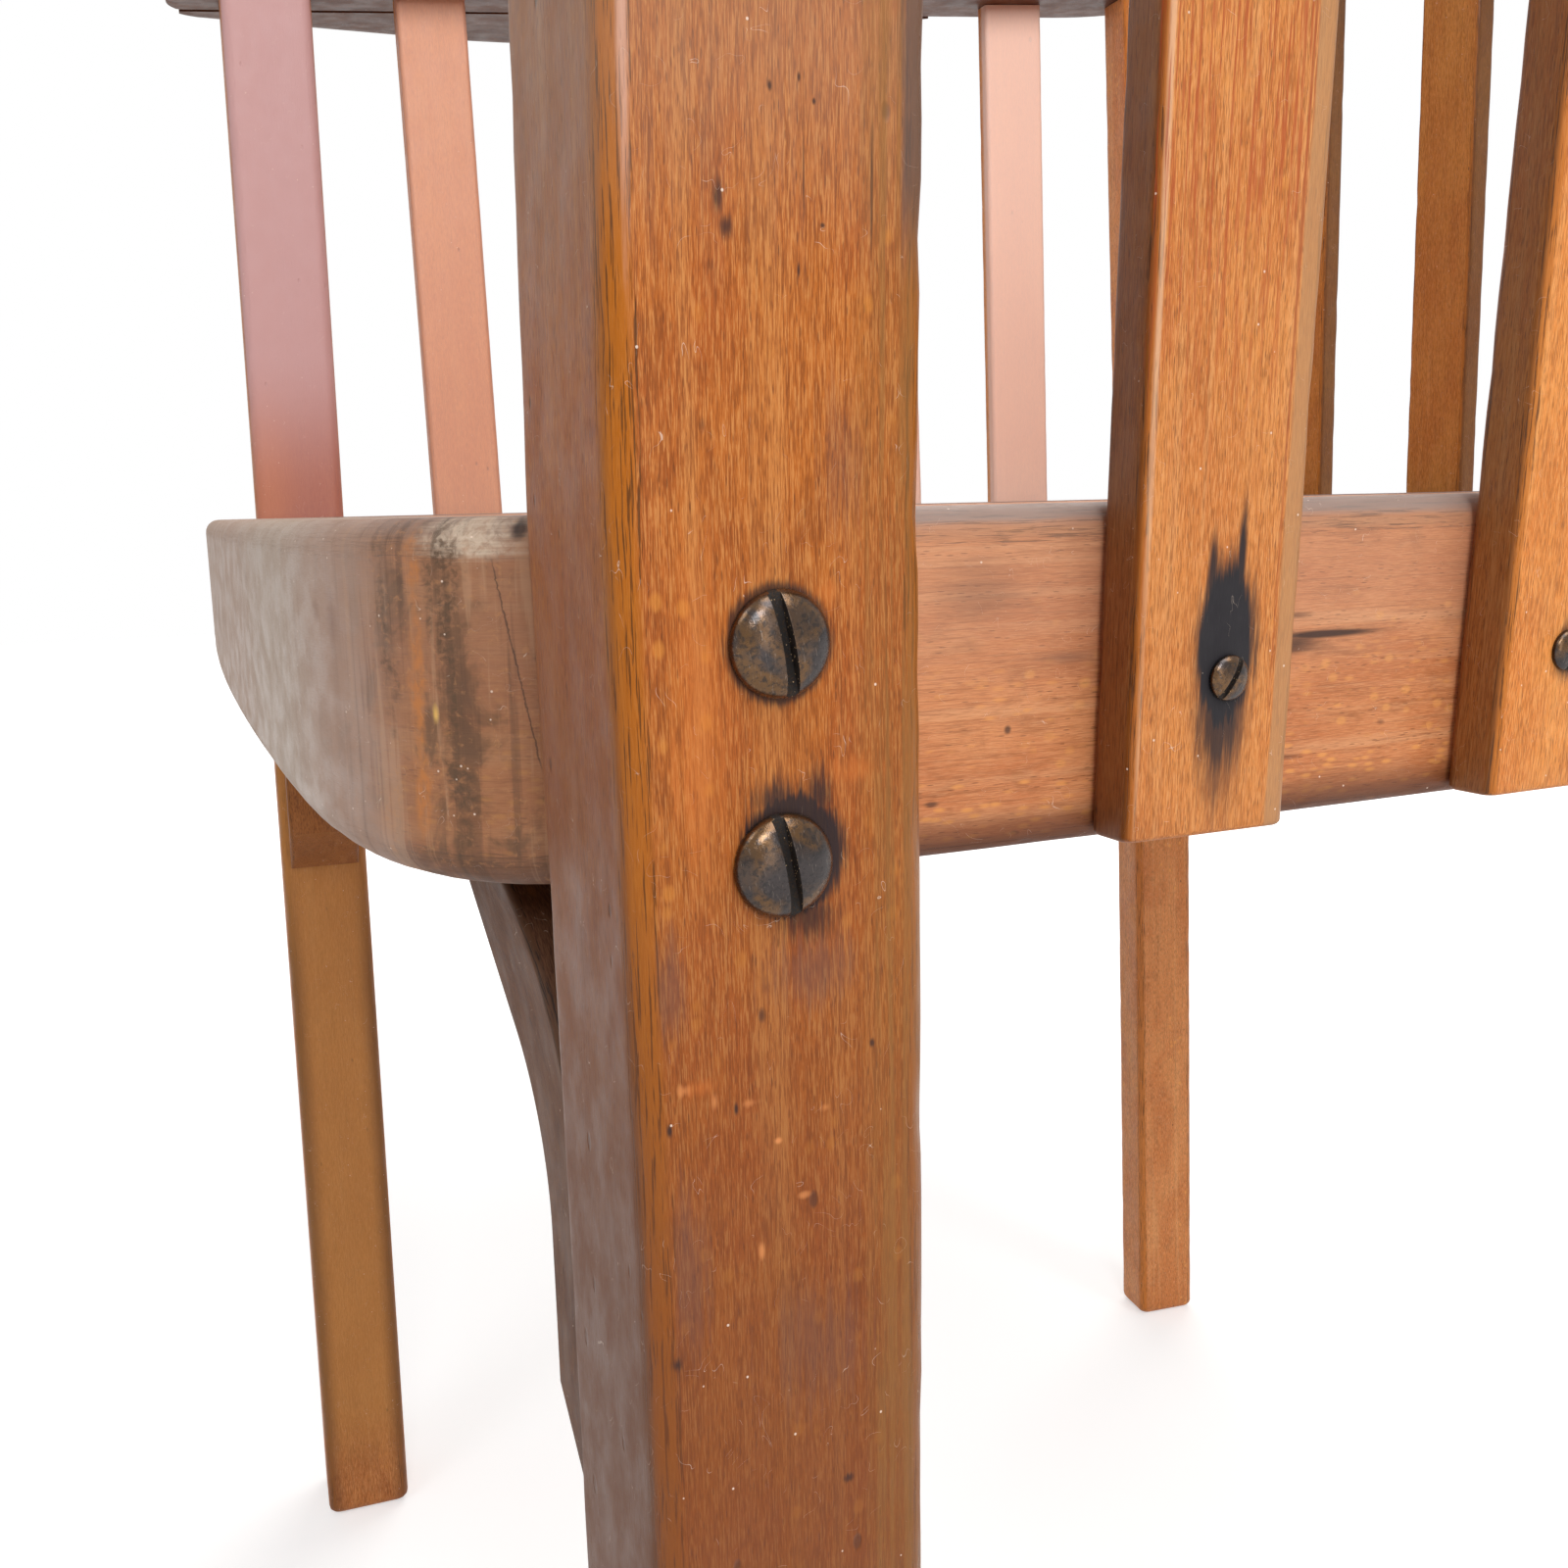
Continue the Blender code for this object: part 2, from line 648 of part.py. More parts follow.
def round_off(radius, back):
    """How far a rounded corner draws in at a distance back from the end of a piece."""
    return radius - math.sqrt(radius ** 2 - max(radius - back, 0.0) ** 2)


def wing_inner(y):
    return BOW_PLAN.side_x(y) + BOW_WIDTH / 2 + SEATING_GAP


def nose_width():
    """Width of the hand rest that lies outside the bow at its very front."""
    return WING_HALF_FRONT - wing_inner(-BOW_FRONT_REACH)


def bow_section(point, normal, inner_inset=0.0, outer_inset=0.0):
    """Cross-section of the bow: flat below, rounded above, its edges drawn in by the insets."""
    half = BOW_WIDTH / 2
    corners = (
        (half, 0.0, BOW_BOTTOM_RADIUS, -90),
        (half, BOW_THICKNESS, BOW_TOP_RADIUS, 0),
        (-half, BOW_THICKNESS, BOW_TOP_RADIUS, 90),
        (-half, 0.0, BOW_BOTTOM_RADIUS, 180),
    )
    ring = []
    for out, up, radius, start in corners:
        centre_out = math.copysign(half - radius, out)
        centre_up = up - radius if up else radius
        inset = -outer_inset if out > 0 else inner_inset
        for step in range(LEG_CORNER_STEPS + 1):
            angle = math.radians(start + 90 * step / LEG_CORNER_STEPS)
            flat = point + normal * (centre_out + radius * math.cos(angle) + inset)
            z = arm_underside(flat.y) + centre_up + radius * math.sin(angle)
            ring.append(Vector((flat.x, flat.y, z)))
    return ring


def make_arm_bow(mortises):
    """The bent hoop from one hand rest round the back to the other, with a mortise for every upright."""
    right = bow_half_path()
    left = [Vector((-p.x, p.y)) for p in reversed(right[:-1])]
    path = right + left
    normals = outward_normals(path, closed=False)
    rings = [bow_section(p, n) for p, n in zip(path[1:-1], normals[1:-1])]
    for end, step in ((0, 1), (-1, -1)):
        inward = (path[end + step] - path[end]).normalized()
        cap = []
        for share in NOSE_SHARES:
            back = BOW_END_RADIUS * share
            inner = round_off(BOW_END_RADIUS, back)
            outer = max(round_off(WING_NOSE_RADIUS, back) - nose_width(), 0.0)
            cap.append(bow_section(path[end] + inward * back, normals[end], inner, outer))
        rings = cap + rings if end == 0 else rings + list(reversed(cap))
    bm = bmesh.new()
    add_loft(bm, rings)
    bow = new_object("arm_bow", bm, "bow_wood")
    bm = bmesh.new()
    for cutter_rings in mortises:
        add_loft(bm, cutter_rings)
    cut(bow, new_cutter("bow_mortises", bm))
    return bow


def wing_edge():
    """Outer edge of a wing: a rounded nose, a spread along the hand rest and a long run back to the bow."""
    front = -BOW_FRONT_REACH
    first = round_off(WING_NOSE_RADIUS, nose_width() - WING_TAIL_THICKNESS)
    points = []
    for share in NOSE_SHARES:
        back = lerp(first, WING_NOSE_RADIUS, share)
        x = WING_HALF_FRONT + WING_SPREAD_SHARE * back - round_off(WING_NOSE_RADIUS, back)
        points.append(Vector((x, front + back)))
    spread = WING_SPREAD_END - front
    start = Vector((WING_HALF_FRONT + WING_SPREAD_SHARE * spread, WING_SPREAD_END))
    end = Vector((wing_inner(WING_END) + WING_TAIL_THICKNESS, WING_END))
    way_out = Vector((WING_SPREAD_SHARE, 1.0)).normalized()
    way_in = Vector((-WING_TAPER_SHARE, 1.0)).normalized()
    return points + [start] + corner(start, way_out, end, way_in, WING_CORNER_SHARE, WING_STEPS)


def wing_section(side, edge_point):
    """Slice of a wing across the arm: flat below and against the bow, rounded along its outer edge."""
    outer, y = edge_point
    inner = wing_inner(y)
    radius = min(WING_EDGE_RADIUS, (outer - inner) / 2)
    low = arm_underside(y)
    high = low + BOW_THICKNESS
    profile = [(inner, low), (outer - radius / 2, low), (outer, low + radius / 2)]
    for step in range(LEG_CORNER_STEPS + 1):
        angle = math.pi / 2 * step / LEG_CORNER_STEPS
        profile.append((outer - radius + radius * math.cos(angle), high - radius + radius * math.sin(angle)))
    profile.append((inner, high))
    return [Vector((side * x, y, z)) for x, z in profile]


def make_arm_wing(side, word):
    bm = bmesh.new()
    add_loft(bm, [wing_section(side, point) for point in wing_edge()])
    return new_object(f"arm_wing_{word}", bm, "bow_wood")


def crest_section(point, normal, share):
    """Slice of the crest: it stands on the bow, leans back and drops towards its ends."""
    fall = smooth_step(share, CREST_SHOULDER_SHARE, 1.0)
    height = lerp(CREST_HEIGHT, CREST_END_HEIGHT, fall)
    half = lerp(CREST_THICKNESS, CREST_END_THICKNESS, fall) / 2
    radius = min(CREST_EDGE_RADIUS, half * CREST_ROUND_SHARE)
    profile = [(half, 0.0)]
    for start, sign in ((0, 1), (90, -1)):
        for step in range(LEG_CORNER_STEPS + 1):
            angle = math.radians(start + 90 * step / LEG_CORNER_STEPS)
            out = sign * (half - radius) + radius * math.cos(angle)
            profile.append((out, height - radius + radius * math.sin(angle)))
    profile.append((-half, 0.0))
    ring = []
    for out, up in profile:
        flat = point + normal * (out + CREST_LEAN_SHARE * up)
        ring.append(Vector((flat.x, flat.y, arm_underside(flat.y) + BOW_THICKNESS + SEATING_GAP + up)))
    return ring


def make_crest():
    half = bow_half_path()[len(BOW_SIDE_SHARES):]
    lengths = [0.0]
    for before, after in zip(half, half[1:]):
        lengths.append(lengths[-1] + (after - before).length)
    left = [Vector((-p.x, p.y)) for p in reversed(half[:-1])]
    path = half + left
    shares = [1 - length / lengths[-1] for length in lengths]
    shares += list(reversed(shares[:-1]))
    normals = outward_normals(path, closed=False)
    bm = bmesh.new()
    add_loft(bm, [crest_section(p, n, s) for p, n, s in zip(path, normals, shares)])
    return new_object("back_crest", bm, "bow_wood")


def arc_points(centre, radius, start, end, steps):
    points = []
    for step in range(steps + 1):
        angle = math.radians(start + (end - start) * step / steps)
        points.append((centre[0] + radius * math.cos(angle), centre[1] + radius * math.sin(angle)))
    return points


def brace_hollow():
    """The hollow side of a brace, from the end of its leg's taper to where it runs straight to the rail."""
    outside = BRACE_HOLLOW_RADIUS + BRACE_THICKNESS
    return arc_points((outside, outside), BRACE_HOLLOW_RADIUS, 180, 180 + BRACE_HOLLOW_SWEEP, CORNER_STEPS)


def brace_profile():
    """Outline of a bent strip: measures are in from the leg's face and down from the rail's underside."""
    outside = BRACE_HOLLOW_RADIUS + BRACE_THICKNESS
    outline = [(BRACE_REACH, 0.0)]
    outline += arc_points((outside, outside), outside, 270, 180, CORNER_STEPS)
    outline.append((0.0, BRACE_DROP))
    outline.append((BRACE_TIP, BRACE_DROP))
    outline.append((BRACE_THICKNESS, BRACE_DROP - BRACE_TAPER))
    outline += brace_hollow()
    outline.append((BRACE_REACH, BRACE_TIP))
    return outline


def brace_point(side, along, inward, down):
    """A point of a brace, which follows the leg's slope on one side and the level rail on the other."""
    tangent, normal = front_leg_frame(side)
    z = SEAT_HEIGHT - RAIL_HEIGHT - SEATING_GAP - down
    face = front_leg_centre(side, z)
    out = FRONT_LEG_THICKNESS / 2 + SEATING_GAP + inward
    flat = face.xy + tangent * along - normal * out
    return Vector((flat.x, flat.y, z))


def make_brace(side, word):
    front = BRACE_SETBACK - front_leg_width(side) / 2
    rings = []
    for along in (front, front + BRACE_WIDTH):
        rings.append([brace_point(side, along, inward, down) for inward, down in brace_profile()])
    bm = bmesh.new()
    add_loft(bm, rings)
    brace = new_object(f"front_brace_{word}", bm, "leg_wood")
    bevel = brace.modifiers.new("worn_edges", "BEVEL")
    bevel.width = BRACE_EDGE_RADIUS
    bevel.segments = 1
    bevel.limit_method = "ANGLE"
    bevel.angle_limit = math.radians(60)
    return brace


def ring_at(radius, height, sides):
    points = []
    for i in range(sides):
        angle = 2 * math.pi * i / sides
        points.append(Vector((radius * math.cos(angle), radius * math.sin(angle), height)))
    return points


def screw_mesh(name, head_radius, dome, shank_radius, length, slot_width, sides):
    """A slotted screw with a domed head, its head's flat side at zero height and its shank below."""
    seat = SEATING_GAP
    rings = [ring_at(shank_radius / 2, -length, sides), ring_at(shank_radius, shank_radius - length, sides)]
    rings += [ring_at(shank_radius, seat, sides), ring_at(head_radius, seat, sides)]
    for share in SCREW_DOME_SHARES:
        angle = math.pi / 2 * share
        rings.append(ring_at(head_radius * math.cos(angle), seat + dome * math.sin(angle), sides))
    bm = bmesh.new()
    add_loft(bm, rings)
    blank = new_object(name, bm, "screw_metal", 1.0)
    bm = bmesh.new()
    bmesh.ops.create_cube(bm, size=2.0)
    reach = head_radius + CUT_OVERRUN
    bmesh.ops.scale(bm, vec=(slot_width / 2, reach, dome / 2), verts=bm.verts)
    bmesh.ops.translate(bm, vec=(0.0, 0.0, seat + dome * (SCREW_SLOT_FLOOR_SHARE + 1 / 2)), verts=bm.verts)
    slot = new_cutter(f"{name}_slot", bm)
    cut(blank, slot)
    bpy.context.view_layer.update()
    evaluated = blank.evaluated_get(bpy.context.evaluated_depsgraph_get())
    mesh = bpy.data.meshes.new_from_object(evaluated)
    mesh.name = name
    bpy.data.objects.remove(blank, do_unlink=True)
    bpy.data.objects.remove(slot, do_unlink=True)
    return mesh


def screw_turn(out, turn):
    """Rotation that points a screw's head along out, its slot turned from upright."""
    return out.to_track_quat("Z", "Y") @ Quaternion((0.0, 0.0, 1.0), turn)


def place_screws(mesh, places, shank_radius, length, sides):
    """Put one screw at each place and return the objects with the bores that they lie in."""
    screws = []
    bores = bmesh.new()
    for name, origin, out, turn in places:
        screw = bpy.data.objects.new(name, mesh)
        bpy.context.collection.objects.link(screw)
        screw.location = origin
        rotation = screw_turn(out, turn)
        screw.rotation_euler = rotation.to_euler()
        screws.append(screw)
        rings = []
        for height in (-length - SEATING_GAP, CUT_OVERRUN):
            ring = ring_at(shank_radius + SEATING_GAP, height, sides)
            rings.append([origin + rotation @ p for p in ring])
        add_loft(bores, rings)
    return screws, new_cutter(f"{mesh.name}_bores", bores)


def leg_screw_places(front):
    """Two screws, one above the other, on the outer face of each front or back leg."""
    places = []
    for side, word in SIDE_WORDS.items():
        tangent, normal = front_leg_frame(side) if front else back_leg_frame(side)
        thickness = FRONT_LEG_THICKNESS if front else BACK_LEG_THICKNESS
        lean = LEG_LEAN_SHARE if front else 0.0
        place = "front" if front else "back"
        for row in (0, 1):
            z = SEAT_HEIGHT - LEG_SCREW_TOP_DROP - LEG_SCREW_SPACING * row
            centre = front_leg_centre(side, z) if front else back_leg_centre(side, z)
            flat = centre.xy + normal * (thickness / 2) + tangent * (LEG_SCREW_SHIFT * (row + 1))
            out = Vector((normal.x, normal.y, -lean)).normalized()
            turn = LEG_SCREW_TURN * (side + 2 * row * (1 - side)) * side
            name = f"{place}_leg_screw_{word}_{row + 1}"
            places.append((name, Vector((flat.x, flat.y, z)), out, turn))
    return places


def slat_screw_places(group):
    """One screw near the foot of every slat of a group."""
    places = []
    for order, frame in enumerate(slat_frames()):
        name, base, tangent, normal, lean, fan = frame
        if not name.startswith(group):
            continue
        z = SEAT_HEIGHT - SMALL_SCREW_DROP
        drift = SMALL_SCREW_WANDER * math.cos(SMALL_SCREW_STEP * (order - len(LEFT_SLAT_SHARES)))
        flat = slat_middle(frame, z).xy + normal * (SLAT_THICKNESS / 2) + tangent * drift
        out = Vector((normal.x, normal.y, -lean)).normalized()
        screw_name = name.replace("slat", "slat_screw")
        places.append((screw_name, Vector((flat.x, flat.y, z)), out, SMALL_SCREW_TURN * (order + 1)))
    return places


def brace_screw_places():
    """Each brace is held by one screw through its upper end into the rail and one into the leg."""
    width = BRACE_THICKNESS
    flat_end = BRACE_HOLLOW_RADIUS + BRACE_THICKNESS
    places = []
    for side, word in SIDE_WORDS.items():
        middle = BRACE_SETBACK - front_leg_width(side) / 2 + BRACE_WIDTH / 2
        down = lerp(flat_end, BRACE_DROP - BRACE_TAPER, BRACE_SCREW_SHARE)
        origin = brace_point(side, middle, width, down)
        inner = brace_point(side, middle, 2 * width, down)
        places.append((f"brace_screw_{word}_1", origin, (inner - origin).normalized(), SMALL_SCREW_TURN))
        bend_in, bend_down = brace_hollow()[-1]
        run = lerp(BRACE_REACH, bend_in, BRACE_SCREW_SHARE)
        fall = lerp(BRACE_TIP, bend_down, BRACE_SCREW_SHARE)
        origin = brace_point(side, middle, run, fall)
        further = brace_point(side, middle, run + bend_down - BRACE_TIP, fall + BRACE_REACH - bend_in)
        places.append((f"brace_screw_{word}_2", origin, (further - origin).normalized(), SMALL_SCREW_TURN))
    return places


def crest_screw_places():
    """Two screws come up through the bow between the slats and hold the crest."""
    out = Vector((0.0, ARM_SLOPE_SHARE, -1.0)).normalized()
    places = []
    for side, word in SIDE_WORDS.items():
        flat = BOW_PLAN.back_point(side * BACK_SLAT_PITCH * 3 / 2)
        places.append((f"crest_screw_{word}", Vector((flat.x, flat.y, arm_underside(flat.y))), out, 0.0))
    return places


def footprint_middle():
    """Middle of the chair from front to back, which becomes the origin."""
    crest_back = BOW_BACK_Y + CREST_THICKNESS / 2 + CREST_LEAN_SHARE * (CREST_HEIGHT - CREST_EDGE_RADIUS)
    back = max(BOW_BACK_Y + BOW_WIDTH / 2, crest_back)
    return (back - FRONT_REACH) / 2


def main():
    for obj in list(bpy.data.objects):
        bpy.data.objects.remove(obj, do_unlink=True)

    rail = make_seat_rail()
    panel = make_seat_panel()
    trimmer = make_rail_cutter()

    mortises = []
    front_legs = []
    back_legs = []
    braces = []
    for side, word in SIDE_WORDS.items():
        for legs, place in ((front_legs, "front"), (back_legs, "back")):
            if place == "front":
                tangent, normal = front_leg_frame(side)
                centre_at = partial(front_leg_centre, side)
                size = (front_leg_width(side), FRONT_LEG_THICKNESS)
            else:
                tangent, normal = back_leg_frame(side)
                centre_at = partial(back_leg_centre, side)
                size = (BACK_LEG_WIDTH, BACK_LEG_THICKNESS)
            legs.append(make_leg(f"{place}_leg_{word}", centre_at, tangent, normal, size, trimmer))
            top_centre = centre_at(SEAT_HEIGHT + ARM_RISE)
            mortises.append(mortise_rings(LEG_TENON_SIZE, tangent, normal, top_centre))
        braces.append(make_brace(side, word))

    slats = []
    for frame in slat_frames():
        slats.append(make_slat(frame))
        mortises.append(mortise_rings(SLAT_TENON_SIZE, frame[2], frame[3], slat_top(frame)))

    bow = make_arm_bow(mortises)
    wings = [make_arm_wing(-1, "left"), make_arm_wing(1, "right")]
    crest = make_crest()

    large = (LEG_SCREW_HEAD_RADIUS, LEG_SCREW_DOME, LEG_SCREW_SHANK_RADIUS)
    small = (SMALL_SCREW_HEAD_RADIUS, SMALL_SCREW_DOME, SMALL_SCREW_SHANK_RADIUS)
    side_slats = [slat for slat in slats if not slat.name.startswith("back")]
    back_slats = [slat for slat in slats if slat.name.startswith("back")]
    side_places = slat_screw_places(tuple(SIDE_WORDS.values()))
    sets = (
        ("front_leg_screw", large, FRONT_LEG_THICKNESS, leg_screw_places(True), [rail] + front_legs),
        ("back_leg_screw", large, BACK_LEG_THICKNESS, leg_screw_places(False), [rail] + back_legs),
        ("side_slat_screw", small, SLAT_THICKNESS, side_places, [rail] + side_slats),
        ("back_slat_screw", small, SLAT_THICKNESS, slat_screw_places("back"), [rail] + back_slats),
        ("brace_screw", small, BRACE_THICKNESS, brace_screw_places(), [rail] + front_legs + braces),
        ("crest_screw", small, BOW_THICKNESS, crest_screw_places(), [bow, crest]),
    )
    pieces = [rail, panel, bow, crest] + front_legs + back_legs + braces + slats + wings
    for name, head, through, places, bored in sets:
        is_large = head is large
        sides = SCREW_SIDES if is_large else SMALL_SCREW_SIDES
        length = through + (LEG_SCREW_BITE if is_large else SMALL_SCREW_BITE)
        slot_width = LEG_SCREW_SLOT_WIDTH if is_large else SMALL_SCREW_SLOT_WIDTH
        mesh = screw_mesh(name, *head, length, slot_width, sides)
        screws, bores = place_screws(mesh, places, head[2], length, sides)
        pieces += screws
        for piece in bored:
            cut(piece, bores)

    chair = bpy.data.objects.new("chair", None)
    bpy.context.collection.objects.link(chair)
    chair.location.y = -footprint_middle()
    cutters = [obj for obj in bpy.data.objects if obj.display_type == "WIRE"]
    for obj in pieces + cutters:
        obj.parent = chair


main()
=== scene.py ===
"""Looks of the bentwood armchair: worn shellac, old slotted screws, a pale floor and soft light.

Metres, +Z up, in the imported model's frame. Sizes are measured from the line through the centres of the front
legs, as in the solids, and every piece is then shifted by the same amount to put the chair over the origin.
"""

import math
from dataclasses import dataclass
from functools import partial

import bmesh
import bpy
from mathutils import Matrix, Quaternion, Vector, noise


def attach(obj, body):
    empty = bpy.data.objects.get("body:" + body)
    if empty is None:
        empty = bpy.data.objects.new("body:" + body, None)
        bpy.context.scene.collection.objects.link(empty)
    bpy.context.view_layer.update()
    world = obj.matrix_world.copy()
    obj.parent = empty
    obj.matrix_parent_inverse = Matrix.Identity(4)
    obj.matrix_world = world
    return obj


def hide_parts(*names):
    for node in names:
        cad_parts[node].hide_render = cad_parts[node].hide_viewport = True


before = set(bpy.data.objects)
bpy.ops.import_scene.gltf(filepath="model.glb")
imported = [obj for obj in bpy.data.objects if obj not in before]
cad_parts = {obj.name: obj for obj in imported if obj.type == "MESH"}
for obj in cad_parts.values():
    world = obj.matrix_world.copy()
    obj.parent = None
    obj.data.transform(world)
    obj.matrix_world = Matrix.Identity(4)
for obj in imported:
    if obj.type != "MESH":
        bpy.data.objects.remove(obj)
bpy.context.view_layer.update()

# Sizes of the chair, as in the solids

GAP = 0.0003
SEAT_HEIGHT = 0.450
RAIL_HEIGHT = 0.050
RAIL_WIDTH = 0.044
RAIL_TOP_RADIUS = 0.0045
RAIL_BOTTOM_RADIUS = 0.0025
FRONT_BOTTOM_RADIUS = 0.006
FRONT_REACH = 0.0436
FRONT_FLAT_HALF = 0.150
FRONT_BOW = 0.0023
FRONT_CORNER_END = 0.060
SIDE_HALF_FRONT = 0.249
SIDE_HALF_BACK = 0.226
SIDE_BOW = 0.0044
LEG_SPAN = 0.418
BACK_CORNER_START = 0.424
BACK_FLAT_HALF = 0.195
BACK_REACH = 0.0325
BACK_BOW = 0.0105
LEG_LEAN = 0.041
SLAT_LEAN = 0.0606
BACK_LEAN = 0.0165
FRONT_BEND_START = -0.025
TWIST_START = 0.357
TWIST_END = 0.412
FRONT_CORNER_SHARE = 0.92
BACK_CORNER_SHARE = 0.62

PANEL_THICKNESS = 0.006
PANEL_DROP = 0.0004
PANEL_LEDGE = 0.012
PANEL_EDGE_RADIUS = 0.0008

FRONT_LEG_WIDTH = 0.0352
RIGHT_LEG_EXTRA = 0.0024
FRONT_LEG_SHIFT = 0.0009
FRONT_LEG_THICKNESS = 0.034
FRONT_LEG_FOOT_FORWARD = 0.0047
FRONT_LEG_TOP_BACK = 0.0021
FRONT_LEG_TURN = 0.0507
RIGHT_LEG_WARP = 0.0046
LEG_EDGE_RADIUS = 0.0038
FOOT_RADIUS = 0.004

BACK_LEG_WIDTH = 0.0318
BACK_LEG_THICKNESS = 0.024
BACK_LEG_FOOT_BACK = 0.0145
BACK_LEG_TOP_FORWARD = 0.0090

SLAT_WIDTH = 0.0292
SLAT_THICKNESS = 0.0094
SLAT_EDGE_RADIUS = 0.0018
SLAT_FOOT_RISE = 0.0010
SLAT_FAN = (-0.009, 0.005)
SLAT_RUN_START = 0.0708
SLAT_RUN_LENGTH = 0.269
LEFT_SLAT_SHARES = (0.0, 0.25, 0.5, 0.75, 1.0)
RIGHT_SLAT_SHARES = (0.036, 0.304, 0.54, 0.77, 1.0)
BACK_SLATS = 5
BACK_SLAT_PITCH = 0.079

ARM_RISE = 0.2095
ARM_SLOPE = 0.0665
BOW_WIDTH = 0.036
BOW_THICKNESS = 0.024
BOW_TOP_RADIUS = 0.005
BOW_BOTTOM_RADIUS = 0.003
BOW_HALF_FRONT = 0.2704
BOW_HALF_BACK = 0.2492
BOW_SIDE_BOW = -0.0006
BOW_SIDE_END = 0.372
BOW_BACK_FLAT_HALF = 0.185
BOW_BACK_REACH = 0.034
BOW_BACK_BOW = 0.0097
BOW_FRONT_REACH = 0.035
BOW_END_RADIUS = 0.012
BOW_CORNER_SHARE = 0.60

WING_HALF_FRONT = 0.2975
WING_SPREAD = 0.23
WING_SPREAD_END = 0.085
WING_END = 0.310
WING_TAPER = 0.60
WING_CORNER_SHARE = 0.62
WING_NOSE_RADIUS = 0.018
WING_EDGE_RADIUS = 0.006
WING_TAIL_THICKNESS = 0.002

CREST_HEIGHT = 0.075
CREST_THICKNESS = 0.020
CREST_END_HEIGHT = 0.012
CREST_END_THICKNESS = 0.010
CREST_EDGE_RADIUS = 0.006
CREST_LEAN = 0.10
CREST_ROUND_SHARE = 0.80
CREST_SHOULDER_SHARE = 0.35
CREST_FACE_SHARE = 0.85

BRACE_WIDTH = 0.028
BRACE_SETBACK = 0.0036
BRACE_REACH = 0.067
BRACE_DROP = 0.098
BRACE_THICKNESS = 0.020
BRACE_TIP = 0.002
BRACE_TAPER = 0.018
BRACE_HOLLOW_RADIUS = 0.0345
BRACE_HOLLOW_SWEEP = 53
BRACE_EDGE_RADIUS = 0.0015
BRACE_SCREW_SHARE = 0.40

LEG_SCREW_HEAD_RADIUS = 0.00605
LEG_SCREW_DOME = 0.0026
LEG_SCREW_TOP_DROP = 0.0142
LEG_SCREW_SPACING = 0.0249
LEG_SCREW_SHIFT = -0.0003
LEG_SCREW_SLOT_WIDTH = 0.0015
LEG_SCREW_TURN = math.radians(11)
SMALL_SCREW_HEAD_RADIUS = 0.0034
SMALL_SCREW_DOME = 0.0013
SMALL_SCREW_SLOT_WIDTH = 0.0009
SMALL_SCREW_TURN = math.radians(25)
SMALL_SCREW_DROP = 0.0255
SMALL_SCREW_WANDER = 0.0019
SMALL_SCREW_STEP = math.radians(110)
SCREW_SLOT_FLOOR_SHARE = 0.35
SLOT_LIP_SHARE = 0.52
SLOT_BEVEL_SHARE = 0.09
SLOT_BEVEL_ANGLE = math.radians(50)
HEAD_SINK = 0.0004
HEAD_FOOT_SHARE = 0.97
HEAD_RIM_SHARE = 0.99
HEAD_RIM_RISE = 0.06
DOME_START_SHARE = 0.995
DOME_START_RISE = 0.08

# How far worn edges wander, and how often in a metre
RAIL_WAVER = 0.00025
FRONT_LEG_WAVER = 0.0005
BACK_LEG_WAVER = 0.0004
SLAT_WAVER = 0.00035
BOW_WAVER = 0.0003
WAVER_COARSE = 190
WAVER_FINE = 520
WAVER_FINE_SHARE = 0.6

# Fineness of the modelling
CORNER_STEPS = 26
END_STEPS = 18
SIDE_STEPS = 44
ROUND_STEPS = 6
WING_STEPS = 40
NOSE_STEPS = 14
SPREAD_STEPS = 16
CAP_STEPS = 12
ARM_END_STEPS = 6
BRACE_TIP_STEPS = 8
BRACE_FLAT_STEPS = 5
BRACE_ARC_STEPS = 30
BRACE_LEAST = 0.0004
DOME_STEPS = 14
LEG_SCREW_SIDES = 72
SMALL_SCREW_SIDES = 48
RING_PITCH = 0.006
FOOT_SHARES = (0.0, 0.12, 0.3, 0.6, 1.0)
PANEL_RING_SHARES = (0.15, 0.3, 0.5, 0.7, 0.85, 0.97)
APRON = 0.0012
APRON_ROOM_SHARE = 0.9
WOOD_SHARP_ANGLE = math.radians(40)
METAL_SHARP_ANGLE = math.radians(38)


# Plan curves

SIDES = ((-1, "left"), (1, "right"))


def lerp(a, b, share):
    return a + (b - a) * share


def shares(steps, first=0):
    """Even shares of the way from 0 to 1, without those before first."""
    return [i / steps for i in range(first, steps + 1)]


def smooth_step(value, start, end):
    share = min(max((value - start) / (end - start), 0.0), 1.0)
    return share * share * (3 - 2 * share)


def corner(p0, t0, p1, t1, share, steps):
    """Bezier points after p0 to p1, whose handles reach the given share of the way to the corner's knee."""
    cross = t0.x * t1.y - t0.y * t1.x
    gap = p1 - p0
    knee = p0 + t0 * ((gap.x * t1.y - gap.y * t1.x) / cross)
    h0, h1 = p0.lerp(knee, share), p1.lerp(knee, share)
    points = []
    for t in shares(steps, 1):
        u = 1 - t
        points.append(p0 * u ** 3 + h0 * 3 * u * u * t + h1 * 3 * u * t * t + p1 * t ** 3)
    return points


